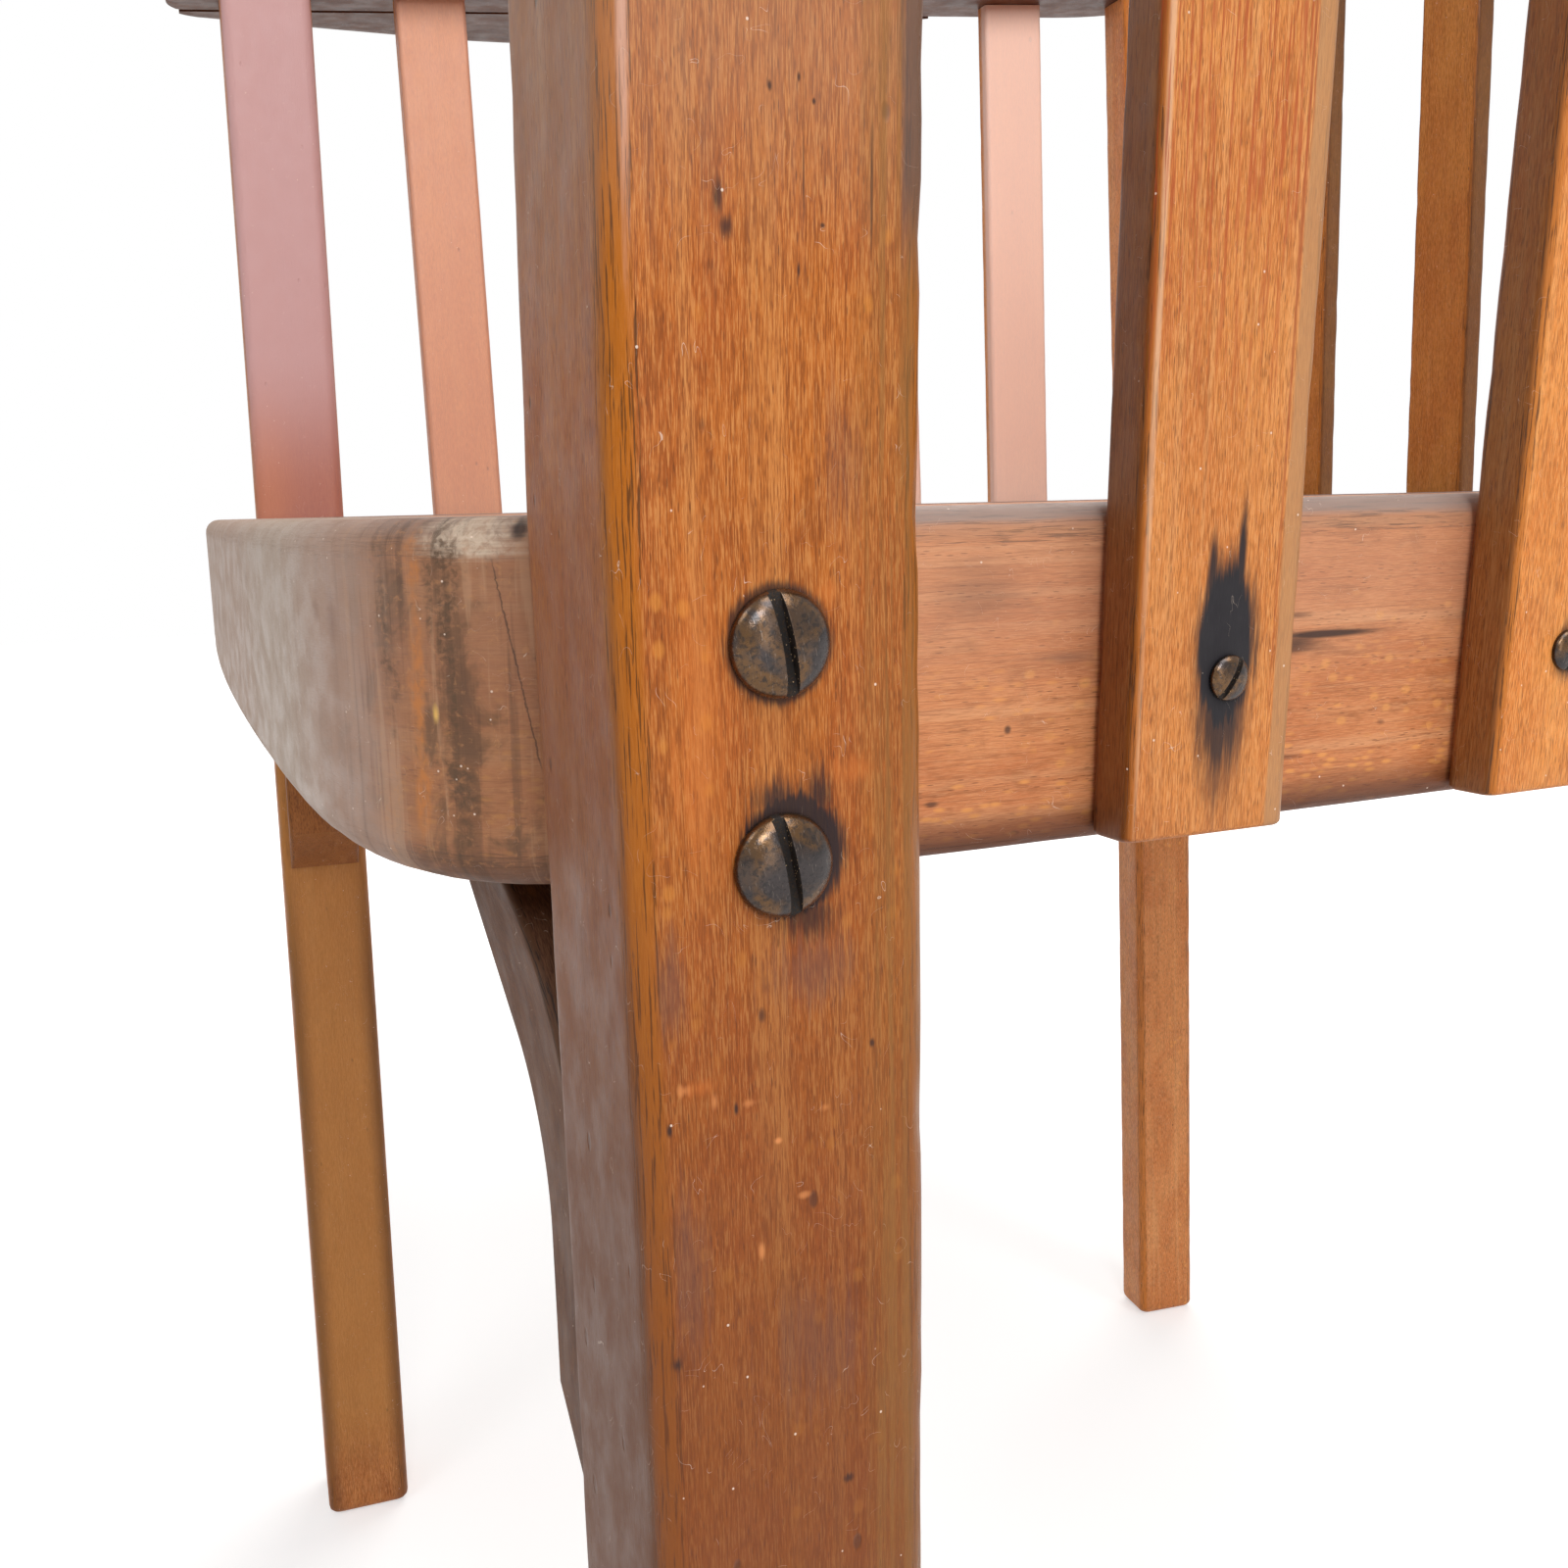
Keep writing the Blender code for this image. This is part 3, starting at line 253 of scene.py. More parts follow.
@dataclass
class Plan:
    """Half plan of a bent hoop: a bowed side and a bowed back joined by a bend."""

    side_front: float
    side_back: float
    side_bow: float
    back_y: float
    back_bow: float
    back_half: float

    def side_x(self, y):
        s = y / LEG_SPAN
        return lerp(self.side_front, self.side_back, s) + 4 * self.side_bow * s * (1 - s)

    def side_tangent(self, y):
        s = y / LEG_SPAN
        slope = (self.side_back - self.side_front + 4 * self.side_bow * (1 - 2 * s)) / LEG_SPAN
        return Vector((slope, 1.0)).normalized()

    def side_point(self, y):
        return Vector((self.side_x(y), y))

    def back_tangent(self, x):
        slope = -2 * self.back_bow * x / self.back_half ** 2
        return Vector((-1.0, -slope)).normalized()

    def back_point(self, x):
        return Vector((x, self.back_y - self.back_bow * (x / self.back_half) ** 2))

    def bend(self, start_y, share):
        """The bend from the side to the back, after its first point."""
        start, end = self.side_point(start_y), self.back_point(self.back_half)
        tangents = self.side_tangent(start_y), self.back_tangent(self.back_half)
        return corner(start, tangents[0], end, tangents[1], share, CORNER_STEPS)

    def back_run(self, steps):
        """The back from the bend to its middle, after its first point."""
        return [self.back_point(self.back_half * (1 - share)) for share in shares(steps, 1)]

    def rear_half(self, from_y, bend_y, bend_share):
        points = [self.side_point(lerp(from_y, bend_y, share)) for share in shares(SIDE_STEPS)]
        return points + self.bend(bend_y, bend_share) + self.back_run(END_STEPS)


RAIL_BACK_Y = LEG_SPAN + BACK_REACH
RAIL = Plan(SIDE_HALF_FRONT, SIDE_HALF_BACK, SIDE_BOW, RAIL_BACK_Y, BACK_BOW, BACK_FLAT_HALF)
BOW_BACK_Y = LEG_SPAN + BOW_BACK_REACH
BOW = Plan(BOW_HALF_FRONT, BOW_HALF_BACK, BOW_SIDE_BOW, BOW_BACK_Y, BOW_BACK_BOW, BOW_BACK_FLAT_HALF)
CREST_BACK = BOW_BACK_Y + CREST_THICKNESS / 2 + CREST_LEAN * (CREST_HEIGHT - CREST_EDGE_RADIUS)
MIDDLE_Y = (max(BOW_BACK_Y + BOW_WIDTH / 2, CREST_BACK) - FRONT_REACH) / 2
SHIFT = Vector((0.0, -MIDDLE_Y, 0.0))


def rail_half_outline():
    """The rail's outline from the middle of the front round the right side to the middle of the back."""
    points = []
    for share in shares(END_STEPS):
        points.append(Vector((FRONT_FLAT_HALF * share, FRONT_BOW * share ** 2 - FRONT_REACH)))
    tangent = Vector((FRONT_FLAT_HALF, 2 * FRONT_BOW)).normalized()
    side = RAIL.side_point(FRONT_CORNER_END), RAIL.side_tangent(FRONT_CORNER_END)
    points += corner(points[-1], tangent, *side, FRONT_CORNER_SHARE, CORNER_STEPS)
    return points + RAIL.rear_half(FRONT_CORNER_END, BACK_CORNER_START, BACK_CORNER_SHARE)[1:]


def mirrored(half):
    """The same points on the other side, in the opposite order."""
    return [Vector((-p.x, p.y)) for p in reversed(half)]


def stations(path, closed=False):
    """Each point of a path, the normal to its right, and its distance along the path from the middle."""
    lengths = [0.0]
    for before, after in zip(path, path[1:]):
        lengths.append(lengths[-1] + (after - before).length)
    made = []
    for i, point in enumerate(path):
        before = path[i - 1] if i else path[-2 if closed else 0]
        after = path[i + 1] if i < len(path) - 1 else path[1 if closed else -1]
        along = (after - before).normalized()
        made.append((point, Vector((along.y, -along.x)), lengths[i] - lengths[-1] / 2))
    return made


def rail_lean(y):
    leg = LEG_LEAN * smooth_step(y, FRONT_BEND_START, 0.0)
    side = lerp(leg, SLAT_LEAN, smooth_step(y, 0.0, SLAT_RUN_START - SLAT_WIDTH))
    return lerp(side, -BACK_LEAN, smooth_step(y, TWIST_START, TWIST_END))


def bottom_radius(y):
    return lerp(FRONT_BOTTOM_RADIUS, RAIL_BOTTOM_RADIUS, smooth_step(y, FRONT_BEND_START, SLAT_RUN_START / 2))


def inner_scale(point, inset):
    """The rail's outline drawn in towards the middle of the seat."""
    middle_y = (RAIL_BACK_Y - FRONT_REACH) / 2
    half_depth = (RAIL_BACK_Y + FRONT_REACH) / 2
    scale_x = (SIDE_HALF_FRONT - inset) / SIDE_HALF_FRONT
    scale_y = (half_depth - inset) / half_depth
    return Vector((point.x * scale_x, middle_y + (point.y - middle_y) * scale_y))


def arm_underside(y):
    return SEAT_HEIGHT + ARM_RISE + ARM_SLOPE * y


def at(flat, z):
    return Vector((flat.x, flat.y, z))


# Mesh building

piece_count = 0
LUMP_STEP = Vector((0.37, 0.61, 1.13))


def next_lump():
    """Where the next piece lies in the block of wood or metal that all grain is cut from."""
    global piece_count
    piece_count += 1
    return LUMP_STEP * piece_count


def mesh_from(bm, name):
    mesh = bpy.data.meshes.new(name)
    bm.to_mesh(mesh)
    bm.free()
    return mesh


def add_object(name, data):
    made = bpy.data.objects.new(name, data)
    bpy.context.collection.objects.link(made)
    return made


def dress(piece, node):
    """Make a piece stand for a solid of the frame."""
    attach(piece, "root")
    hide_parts(node)


def bridge(bm, rings):
    """Faces from each ring of vertices to the next."""
    for lower, upper in zip(rings, rings[1:]):
        for j in range(len(lower)):
            k = (j + 1) % len(lower)
            bm.faces.new((lower[j], lower[k], upper[k], upper[j]))


def wood_piece(node, rows, material, waver=0.0):
    """Skin rows of (point, place, edge) into one piece of wood.

    place is the point's own position in the wood, across it twice and along its grain; it carries the grain
    round every bend. edge is 1 on a rounded edge and 0 on a face. waver is how far worn edges wander.
    """
    lump = next_lump()
    bm = bmesh.new()
    place_layer = bm.verts.layers.float_vector.new("place")
    grain_layer = bm.verts.layers.float_vector.new("grain")
    edge_layer = bm.verts.layers.float.new("edge")
    rings = []
    for row in rows:
        centre = sum((point for point, place, edge in row), Vector()) / len(row)
        ring = []
        for point, place, edge in row:
            worn = point
            if waver and edge:
                rough = noise.noise((place + lump) * WAVER_COARSE)
                rough += WAVER_FINE_SHARE * noise.noise((place + lump) * WAVER_FINE)
                worn = point + (centre - point).normalized() * waver * edge * max(rough, 0.0)
            vert = bm.verts.new(worn + SHIFT)
            vert[place_layer] = place
            vert[grain_layer] = place + lump
            vert[edge_layer] = edge
            ring.append(vert)
        rings.append(ring)
    bridge(bm, rings)
    bm.faces.new(list(reversed(rings[0])))
    bm.faces.new(rings[-1])
    bmesh.ops.recalc_face_normals(bm, faces=bm.faces)
    piece = add_object(f"{node}_wood", mesh_from(bm, f"{node}_wood"))
    piece.data.shade_smooth()
    piece.data.set_sharp_from_angle(angle=WOOD_SHARP_ANGLE)
    piece.data.materials.append(material)
    dress(piece, node)


def arc(centre, radius, start, steps, turn=90):
    """Points round a centre as (across, up, share of the way), from start degrees on through turn degrees."""
    points = []
    for share in shares(steps):
        angle = math.radians(start + turn * share)
        points.append((centre[0] + radius * math.cos(angle), centre[1] + radius * math.sin(angle), share))
    return points


def rounded_corner(centre, radius, start, apron):
    """A quarter turn as (across, up, edge), from start degrees, with a narrow apron at either end."""
    points = []
    for share, slide in [(0.0, -apron)] + [(share, 0.0) for share in shares(ROUND_STEPS)] + [(1.0, apron)]:
        angle = math.radians(start + 90 * share)
        across = centre[0] + radius * math.cos(angle) - slide * math.sin(angle)
        up = centre[1] + radius * math.sin(angle) + slide * math.cos(angle)
        points.append((across, up, math.sin(math.pi * share)))
    return points


def rounded_section(width, thickness, radius):
    """Rounded rectangle as (along, out, edge)."""
    half_a, half_b = width / 2 - radius, thickness / 2 - radius
    apron = min(APRON, half_a, half_b) * APRON_ROOM_SHARE
    points = []
    for index, (sign_a, sign_b) in enumerate(((1, 1), (-1, 1), (-1, -1), (1, -1))):
        points += rounded_corner((sign_a * half_a, sign_b * half_b), radius, 90 * index, apron)
    return points


def upright_rows(section, centre_at, tangent, normal, base_y, foot, foot_z):
    """Rows of an upright from its rounded foot to the underside of the arm bow."""
    width = max(a for a, b, edge in section)
    depth = max(b for a, b, edge in section)
    top = arm_underside(base_y)
    levels = []
    for share in FOOT_SHARES:
        levels.append((foot_z + foot * share, foot - math.sqrt(foot ** 2 - (foot * (1 - share)) ** 2)))
    count = int((top - foot_z) / RING_PITCH)
    levels += [(lerp(foot_z + foot, top, share), 0.0) for share in shares(count)[1:-1]]
    rows = []
    for z, shrink in levels:
        row = []
        for a, b, edge in section:
            along = a * (1 - shrink / width)
            out = b * (1 - shrink / depth)
            flat = centre_at(z).xy + tangent * along + normal * out
            row.append((at(flat, z), Vector((along, out, z)), edge))
        rows.append(row)
    row = []
    for a, b, edge in section:
        flat = centre_at(top).xy + tangent * a + normal * b
        z = arm_underside(flat.y) - GAP
        row.append((at(flat, z), Vector((a, b, z)), edge))
    return rows + [row]


# Seat

def rail_row(point, normal, length):
    """The rail's section, from the rebate over the top, down the leaning face and up the inside."""
    lean = rail_lean(point.y)
    top, bottom = SEAT_HEIGHT, SEAT_HEIGHT - RAIL_HEIGHT
    ledge = RAIL_WIDTH - PANEL_LEDGE
    rebate = top - PANEL_THICKNESS - PANEL_DROP
    radius = bottom_radius(point.y)
    face = [(RAIL_TOP_RADIUS * 4, top, 0.1), (RAIL_TOP_RADIUS * 2, top, 0.45)]
    for inset, z, share in arc((RAIL_TOP_RADIUS, top - RAIL_TOP_RADIUS), RAIL_TOP_RADIUS, 90, ROUND_STEPS):
        face.append((inset + lean * (top - z), z, lerp(0.5, 1.0, math.sin(math.pi * share))))
    face.append((lean * (RAIL_TOP_RADIUS + APRON), top - RAIL_TOP_RADIUS - APRON, 0.0))
    face.append((lean * (RAIL_HEIGHT - radius - APRON), bottom + radius + APRON, 0.0))
    for inset, z, share in arc((radius, bottom + radius), radius, 180, ROUND_STEPS):
        face.append((inset + lean * (top - z), z, math.sin(math.pi * share)))
    lip = [(ledge, top - PANEL_EDGE_RADIUS, 0.5), (ledge - PANEL_EDGE_RADIUS, top, 0.5)]
    inside = [(RAIL_WIDTH - PANEL_EDGE_RADIUS, bottom, 0.3), (RAIL_WIDTH, bottom + PANEL_EDGE_RADIUS, 0.3)]
    inside += [(RAIL_WIDTH, rebate, 0.0), (ledge, rebate, 0.0)]
    row = [(inner_scale(point, inset), inset, z, edge) for inset, z, edge in lip]
    row += [(point - normal * inset, inset, z, edge) for inset, z, edge in face]
    row += [(inner_scale(point, inset), inset, z, edge) for inset, z, edge in inside]
    return [(at(flat, z), Vector((inset, z, length)), edge) for flat, inset, z, edge in row]


def make_seat(rail_material, panel_material):
    half = rail_half_outline()
    path = mirrored(half) + half[1:]
    rows = [rail_row(*station) for station in stations(path, closed=True)]
    wood_piece("seat_rail", rows, rail_material, RAIL_WAVER)

    inset = RAIL_WIDTH - PANEL_LEDGE + GAP
    top = SEAT_HEIGHT - PANEL_DROP
    radius = PANEL_EDGE_RADIUS
    levels = [(inset, top - PANEL_THICKNESS + GAP, 0.2), (inset, top - radius, 0.8)]
    levels += [(inset + radius / 3, top - radius / 3, 1.0), (inset + radius, top, 0.8)]
    levels.append((inset + radius * 4, top, 0.0))
    levels += [(lerp(inset, SIDE_HALF_FRONT, share), top, 0.0) for share in PANEL_RING_SHARES]
    rows = []
    for ring_inset, z, edge in levels:
        flats = [inner_scale(point, ring_inset) for point in path[:-1]]
        rows.append([(at(flat, z), Vector((flat.x, z, flat.y)), edge) for flat in flats])
    wood_piece("seat_panel", rows, panel_material)


# Legs, slats and braces

def front_leg_axes(side):
    """The directions along the rail and out of it at a front leg."""
    tangent = Vector((-side * FRONT_LEG_TURN, 1.0)).normalized()
    return tangent, Vector((tangent.y, -tangent.x)) * side


def front_leg_width(side):
    return FRONT_LEG_WIDTH + (RIGHT_LEG_EXTRA if side > 0 else 0.0)


def front_leg_centre(side, z):
    middle = SIDE_HALF_FRONT + FRONT_LEG_THICKNESS / 2
    if z >= SEAT_HEIGHT:
        rise = (z - SEAT_HEIGHT) / ARM_RISE
        y = FRONT_LEG_SHIFT + FRONT_LEG_TOP_BACK * rise
        return Vector((side * lerp(middle, BOW_HALF_FRONT, rise), y, z))
    drop = (SEAT_HEIGHT - z) / SEAT_HEIGHT
    y = FRONT_LEG_SHIFT - FRONT_LEG_FOOT_FORWARD * drop
    if side > 0:
        y += RIGHT_LEG_WARP * math.sin(math.pi * drop)
    return Vector((side * (middle - LEG_LEAN * (SEAT_HEIGHT - z)), y, z))


def side_frame(side, y):
    """A point on the rail's side, with the directions along the rail and out of it."""
    along = RAIL.side_tangent(y)
    base = Vector((side * RAIL.side_x(y), y))
    return base, Vector((side * along.x, along.y)), Vector((side * along.y, -along.x))


def back_leg_centre(side, z):
    base, tangent, normal = side_frame(side, LEG_SPAN)
    middle = base + normal * (BACK_LEG_THICKNESS / 2)
    if z >= SEAT_HEIGHT:
        shift = -BACK_LEG_TOP_FORWARD * (z - SEAT_HEIGHT) / ARM_RISE
    else:
        shift = BACK_LEG_FOOT_BACK * (SEAT_HEIGHT - z) / SEAT_HEIGHT
    return Vector((middle.x, middle.y + shift, z))


def make_legs(front_materials, back_material):
    for side, word in SIDES:
        section = rounded_section(front_leg_width(side), FRONT_LEG_THICKNESS, LEG_EDGE_RADIUS)
        centre_at = partial(front_leg_centre, side)
        rows = upright_rows(section, centre_at, *front_leg_axes(side), 0.0, FOOT_RADIUS, 0.0)
        wood_piece(f"front_leg_{word}", rows, front_materials[word], FRONT_LEG_WAVER)
        section = rounded_section(BACK_LEG_WIDTH, BACK_LEG_THICKNESS, LEG_EDGE_RADIUS)
        centre_at = partial(back_leg_centre, side)
        rows = upright_rows(section, centre_at, *side_frame(side, LEG_SPAN)[1:], LEG_SPAN, FOOT_RADIUS, 0.0)
        wood_piece(f"back_leg_{word}", rows, back_material, BACK_LEG_WAVER)


def slat_frames():
    """Each slat's name, its base on the rail, its directions, and how it leans and fans."""
    frames = []
    for (side, word), run in zip(SIDES, (LEFT_SLAT_SHARES, RIGHT_SLAT_SHARES)):
        for number, share in enumerate(run, 1):
            base = side_frame(side, SLAT_RUN_START + SLAT_RUN_LENGTH * share)
            frames.append((f"{word}_slat_{number}", *base, SLAT_LEAN, lerp(*SLAT_FAN, share)))
    for number in range(1, BACK_SLATS + 1):
        x = BACK_SLAT_PITCH * (number - (BACK_SLATS + 1) / 2)
        along = RAIL.back_tangent(x)
        base = RAIL.back_point(x), along, Vector((along.y, -along.x))
        frames.append((f"back_slat_{number}", *base, -BACK_LEAN, 0.0))
    return frames


def slat_middle(slat, z):
    base, tangent, normal, lean, fan = slat[1:]
    rise = z - SEAT_HEIGHT
    return at(base + normal * (SLAT_THICKNESS / 2 + GAP + lean * rise) + tangent * fan * rise, z)


def make_slats(materials):
    section = rounded_section(SLAT_WIDTH, SLAT_THICKNESS, SLAT_EDGE_RADIUS)
    foot = SLAT_EDGE_RADIUS / 2, SEAT_HEIGHT - RAIL_HEIGHT + SLAT_FOOT_RISE
    for slat in slat_frames():
        name, base, tangent, normal = slat[:4]
        rows = upright_rows(section, partial(slat_middle, slat), tangent, normal, base.y, *foot)
        row, number = name.split("_slat_")
        wood_piece(name, rows, materials[row][int(number) - 1], SLAT_WAVER)


def brace_hollow():
    """The inside of the brace's bend, as (inward, down, share of the way)."""
    centre = (BRACE_HOLLOW_RADIUS + BRACE_THICKNESS,) * 2
    return arc(centre, BRACE_HOLLOW_RADIUS, 180, CORNER_STEPS, BRACE_HOLLOW_SWEEP)


def brace_point(side, along, inward, down):
    """A point of a brace: along the rail, inward from the leg and down from the rail."""
    tangent, normal = front_leg_axes(side)
    z = SEAT_HEIGHT - RAIL_HEIGHT - GAP - down
    out = FRONT_LEG_THICKNESS / 2 + GAP + inward
    return at(front_leg_centre(side, z).xy + tangent * along - normal * out, z)


def brace_stations():
    """Pairs of points across the bent strip, from its tip on the leg to its tip under the rail."""
    outside = BRACE_HOLLOW_RADIUS + BRACE_THICKNESS
    tip = []
    for share in shares(BRACE_TIP_STEPS):
        tip.append((lerp(BRACE_TIP, BRACE_THICKNESS, share), BRACE_DROP - BRACE_TAPER * share))
    flat_shares = shares(BRACE_FLAT_STEPS)[1:-1]
    straight = [(BRACE_THICKNESS, lerp(tip[-1][1], outside, share)) for share in flat_shares]
    hollow = tip + straight + brace_hollow()
    outer = [(0.0, lerp(BRACE_DROP, outside, share)) for share in shares(len(tip + straight) - 1)]
    bend = hollow[-1]
    for share in shares(BRACE_TIP_STEPS, 1):
        hollow.append((lerp(bend[0], BRACE_REACH, share), lerp(bend[1], BRACE_TIP, share)))
    outer += arc((outside, outside), outside, 180, BRACE_ARC_STEPS)
    outer += [(lerp(outside, BRACE_REACH, share), 0.0) for share in shares(len(hollow) - len(outer), 1)]
    return list(zip(outer, hollow))


def brace_middle(side):
    return BRACE_SETBACK - front_leg_width(side) / 2 + BRACE_WIDTH / 2


def make_braces(materials):
    for side, word in SIDES:
        middle = brace_middle(side)
        rows = []
        length = 0.0
        last = None
        for outer, hollow in brace_stations():
            here = Vector(((outer[0] + hollow[0]) / 2, (outer[1] + hollow[1]) / 2))
            length += (here - last).length if last else 0.0
            last = here
            thick = max(Vector((hollow[0] - outer[0], hollow[1] - outer[1])).length, BRACE_LEAST)
            radius = min(BRACE_EDGE_RADIUS, thick / 2 * 0.8)
            row = []
            for a, b, edge in rounded_section(BRACE_WIDTH, thick, radius):
                share = 0.5 + b / thick
                inward = lerp(outer[0], hollow[0], share)
                down = lerp(outer[1], hollow[1], share)
                row.append((brace_point(side, middle + a, inward, down), Vector((a, b, length)), edge))
            rows.append(row)
        wood_piece(f"front_brace_{word}", rows, materials[word])


# Arm bow, wings and crest

def round_off(radius, back):
    return radius - math.sqrt(radius ** 2 - max(radius - back, 0.0) ** 2)


def wing_inner(y):
    return BOW.side_x(y) + BOW_WIDTH / 2 + GAP


def nose_width():
    return WING_HALF_FRONT - wing_inner(-BOW_FRONT_REACH)


def bow_row(point, normal, length, inner_inset=0.0, outer_inset=0.0):
    out, low, high = BOW_WIDTH / 2, BOW_BOTTOM_RADIUS, BOW_TOP_RADIUS
    shoulder = BOW_THICKNESS - high
    profile = rounded_corner((out - low, low), low, -90, APRON)
    profile += rounded_corner((out - high, shoulder), high, 0, APRON)
    profile += rounded_corner((high - out, shoulder), high, 90, APRON)
    profile += rounded_corner((low - out, low), low, 180, APRON)
    row = []
    for across, rise, edge in profile:
        flat = point + normal * (across + (-outer_inset if across > 0 else inner_inset))
        row.append((at(flat, arm_underside(flat.y) + rise), Vector((across, rise, length)), edge))
    return row


def make_bow(material):
    half = [BOW.side_point(-BOW_FRONT_REACH * (1 - share)) for share in shares(ARM_END_STEPS)[:-1]]
    half += BOW.rear_half(0.0, BOW_SIDE_END, BOW_CORNER_SHARE)
    path = stations(half + mirrored(half[:-1]))
    rows = [bow_row(*station) for station in path if abs(station[0].y + BOW_FRONT_REACH) > BOW_END_RADIUS]
    for end, step in ((0, 1), (-1, -1)):
        point, normal, length = path[end]
        inward = (path[end + step][0] - point).normalized()
        cap = []
        for share in shares(CAP_STEPS):
            back = BOW_END_RADIUS * (1 - math.cos(math.pi / 2 * share))
            inner = round_off(BOW_END_RADIUS, back)
            outer = max(round_off(WING_NOSE_RADIUS, back) - nose_width(), 0.0)
            cap.append(bow_row(point + inward * back, normal, length + step * back, inner, outer))
        rows = cap + rows if end == 0 else rows + list(reversed(cap))
    wood_piece("arm_bow", rows, material, BOW_WAVER)


def wing_edge():
    """The wing's outer edge, from its rounded nose along the spread and back in to its thin tail."""
    front = -BOW_FRONT_REACH
    first = round_off(WING_NOSE_RADIUS, nose_width() - WING_TAIL_THICKNESS)
    points = []
    for share in shares(NOSE_STEPS):
        back = lerp(first, WING_NOSE_RADIUS, 1 - math.cos(math.pi / 2 * share))
        x = WING_HALF_FRONT + WING_SPREAD * back - round_off(WING_NOSE_RADIUS, back)
        points.append(Vector((x, front + back)))
    start = Vector((WING_HALF_FRONT + WING_SPREAD * (WING_SPREAD_END - front), WING_SPREAD_END))
    nose = points[-1]
    points += [nose.lerp(start, share) for share in shares(SPREAD_STEPS, 1)]
    end = Vector((wing_inner(WING_END) + WING_TAIL_THICKNESS, WING_END))
    way_out = Vector((WING_SPREAD, 1.0)).normalized()
    way_in = Vector((-WING_TAPER, 1.0)).normalized()
    return points + corner(start, way_out, end, way_in, WING_CORNER_SHARE, WING_STEPS)


def wing_row(side, outer, y):
    inner = wing_inner(y)
    radius = min(WING_EDGE_RADIUS, (outer - inner) / 2)
    low = radius / 2
    profile = [(inner, 0.0, 0.0), (outer - radius, 0.0, 0.2)]
    profile += [(x, rise, 0.6) for x, rise, share in arc((outer - low, low), low, -90, ROUND_STEPS)]
    shoulder = outer - radius, BOW_THICKNESS - radius
    profile += [(x, rise, 0.9) for x, rise, share in arc(shoulder, radius, 0, ROUND_STEPS)]
    profile += [(outer - radius * 1.3, BOW_THICKNESS, 0.0), (inner, BOW_THICKNESS, 0.0)]
    row = []
    for x, rise, edge in profile:
        row.append((Vector((side * x, y, arm_underside(y) + rise)), Vector((x, rise, y)), edge))
    return row


def make_wings(material):
    for side, word in SIDES:
        rows = [wing_row(side, point.x, point.y) for point in wing_edge()]
        wood_piece(f"arm_wing_{word}", rows, material, BOW_WAVER)


def crest_row(point, normal, length, way):
    fall = smooth_step(way, CREST_SHOULDER_SHARE, 1.0)
    height = lerp(CREST_HEIGHT, CREST_END_HEIGHT, fall)
    half = lerp(CREST_THICKNESS, CREST_END_THICKNESS, fall) / 2
    radius = min(CREST_EDGE_RADIUS, half * CREST_ROUND_SHARE)
    below = (height - radius) * CREST_FACE_SHARE
    profile = [(half, 0.0, 0.0), (half, below, 0.0)]
    for start, sign in ((0, 1), (90, -1)):
        shoulder = sign * (half - radius), height - radius
        profile += [(out, up, 0.7) for out, up, share in arc(shoulder, radius, start, ROUND_STEPS + 2)]
    profile += [(-half, below, 0.0), (-half, 0.0, 0.0)]
    row = []
    for out, up, edge in profile:
        flat = point + normal * (out + CREST_LEAN * up)
        z = arm_underside(flat.y) + BOW_THICKNESS + GAP + up
        row.append((at(flat, z), Vector((up, out, length)), edge))
    return row


def make_crest(material):
    half = [BOW.side_point(BOW_SIDE_END)] + BOW.bend(BOW_SIDE_END, BOW_CORNER_SHARE)
    half += BOW.back_run(2 * END_STEPS)
    path = stations(half + mirrored(half[:-1]))
    reach = path[-1][2]
    rows = [crest_row(point, normal, length, abs(length) / reach) for point, normal, length in path]
    wood_piece("back_crest", rows, material, BOW_WAVER)


# Screws

def slot_cutter(name, radius, dome, slot_width):
    bm = bmesh.new()
    bmesh.ops.create_cube(bm, size=2.0)
    bmesh.ops.scale(bm, vec=(slot_width / 2, radius * 1.2, dome), verts=bm.verts)
    bmesh.ops.translate(bm, vec=(0.0, 0.0, GAP + dome * (SCREW_SLOT_FLOOR_SHARE + 1.0)), verts=bm.verts)
    return add_object(f"{name}_slot", mesh_from(bm, f"{name}_slot"))


def screw_blank(name, radius, dome, sides):
    """A domed head with a narrow flat rim."""
    levels = [(radius * HEAD_FOOT_SHARE, -HEAD_SINK), (radius * HEAD_RIM_SHARE, GAP)]
    levels.append((radius, GAP + dome * HEAD_RIM_RISE))
    for share in shares(DOME_STEPS, 1):
        angle = math.pi / 2 * share
        rise = dome * lerp(DOME_START_RISE, 1.0, math.sin(angle))
        levels.append((radius * DOME_START_SHARE * math.cos(angle), GAP + rise))
    bm = bmesh.new()
    rings = []
    for reach, height in levels[:-1]:
        turns = [2 * math.pi * i / sides for i in range(sides)]
        rings.append([bm.verts.new((reach * math.cos(a), reach * math.sin(a), height)) for a in turns])
    top = bm.verts.new((0.0, 0.0, levels[-1][1]))
    bridge(bm, rings)
    for j in range(sides):
        bm.faces.new((rings[-1][j], rings[-1][(j + 1) % sides], top))
    bm.faces.new(list(reversed(rings[0])))
    bmesh.ops.recalc_face_normals(bm, faces=bm.faces)
    return add_object(name, mesh_from(bm, name))


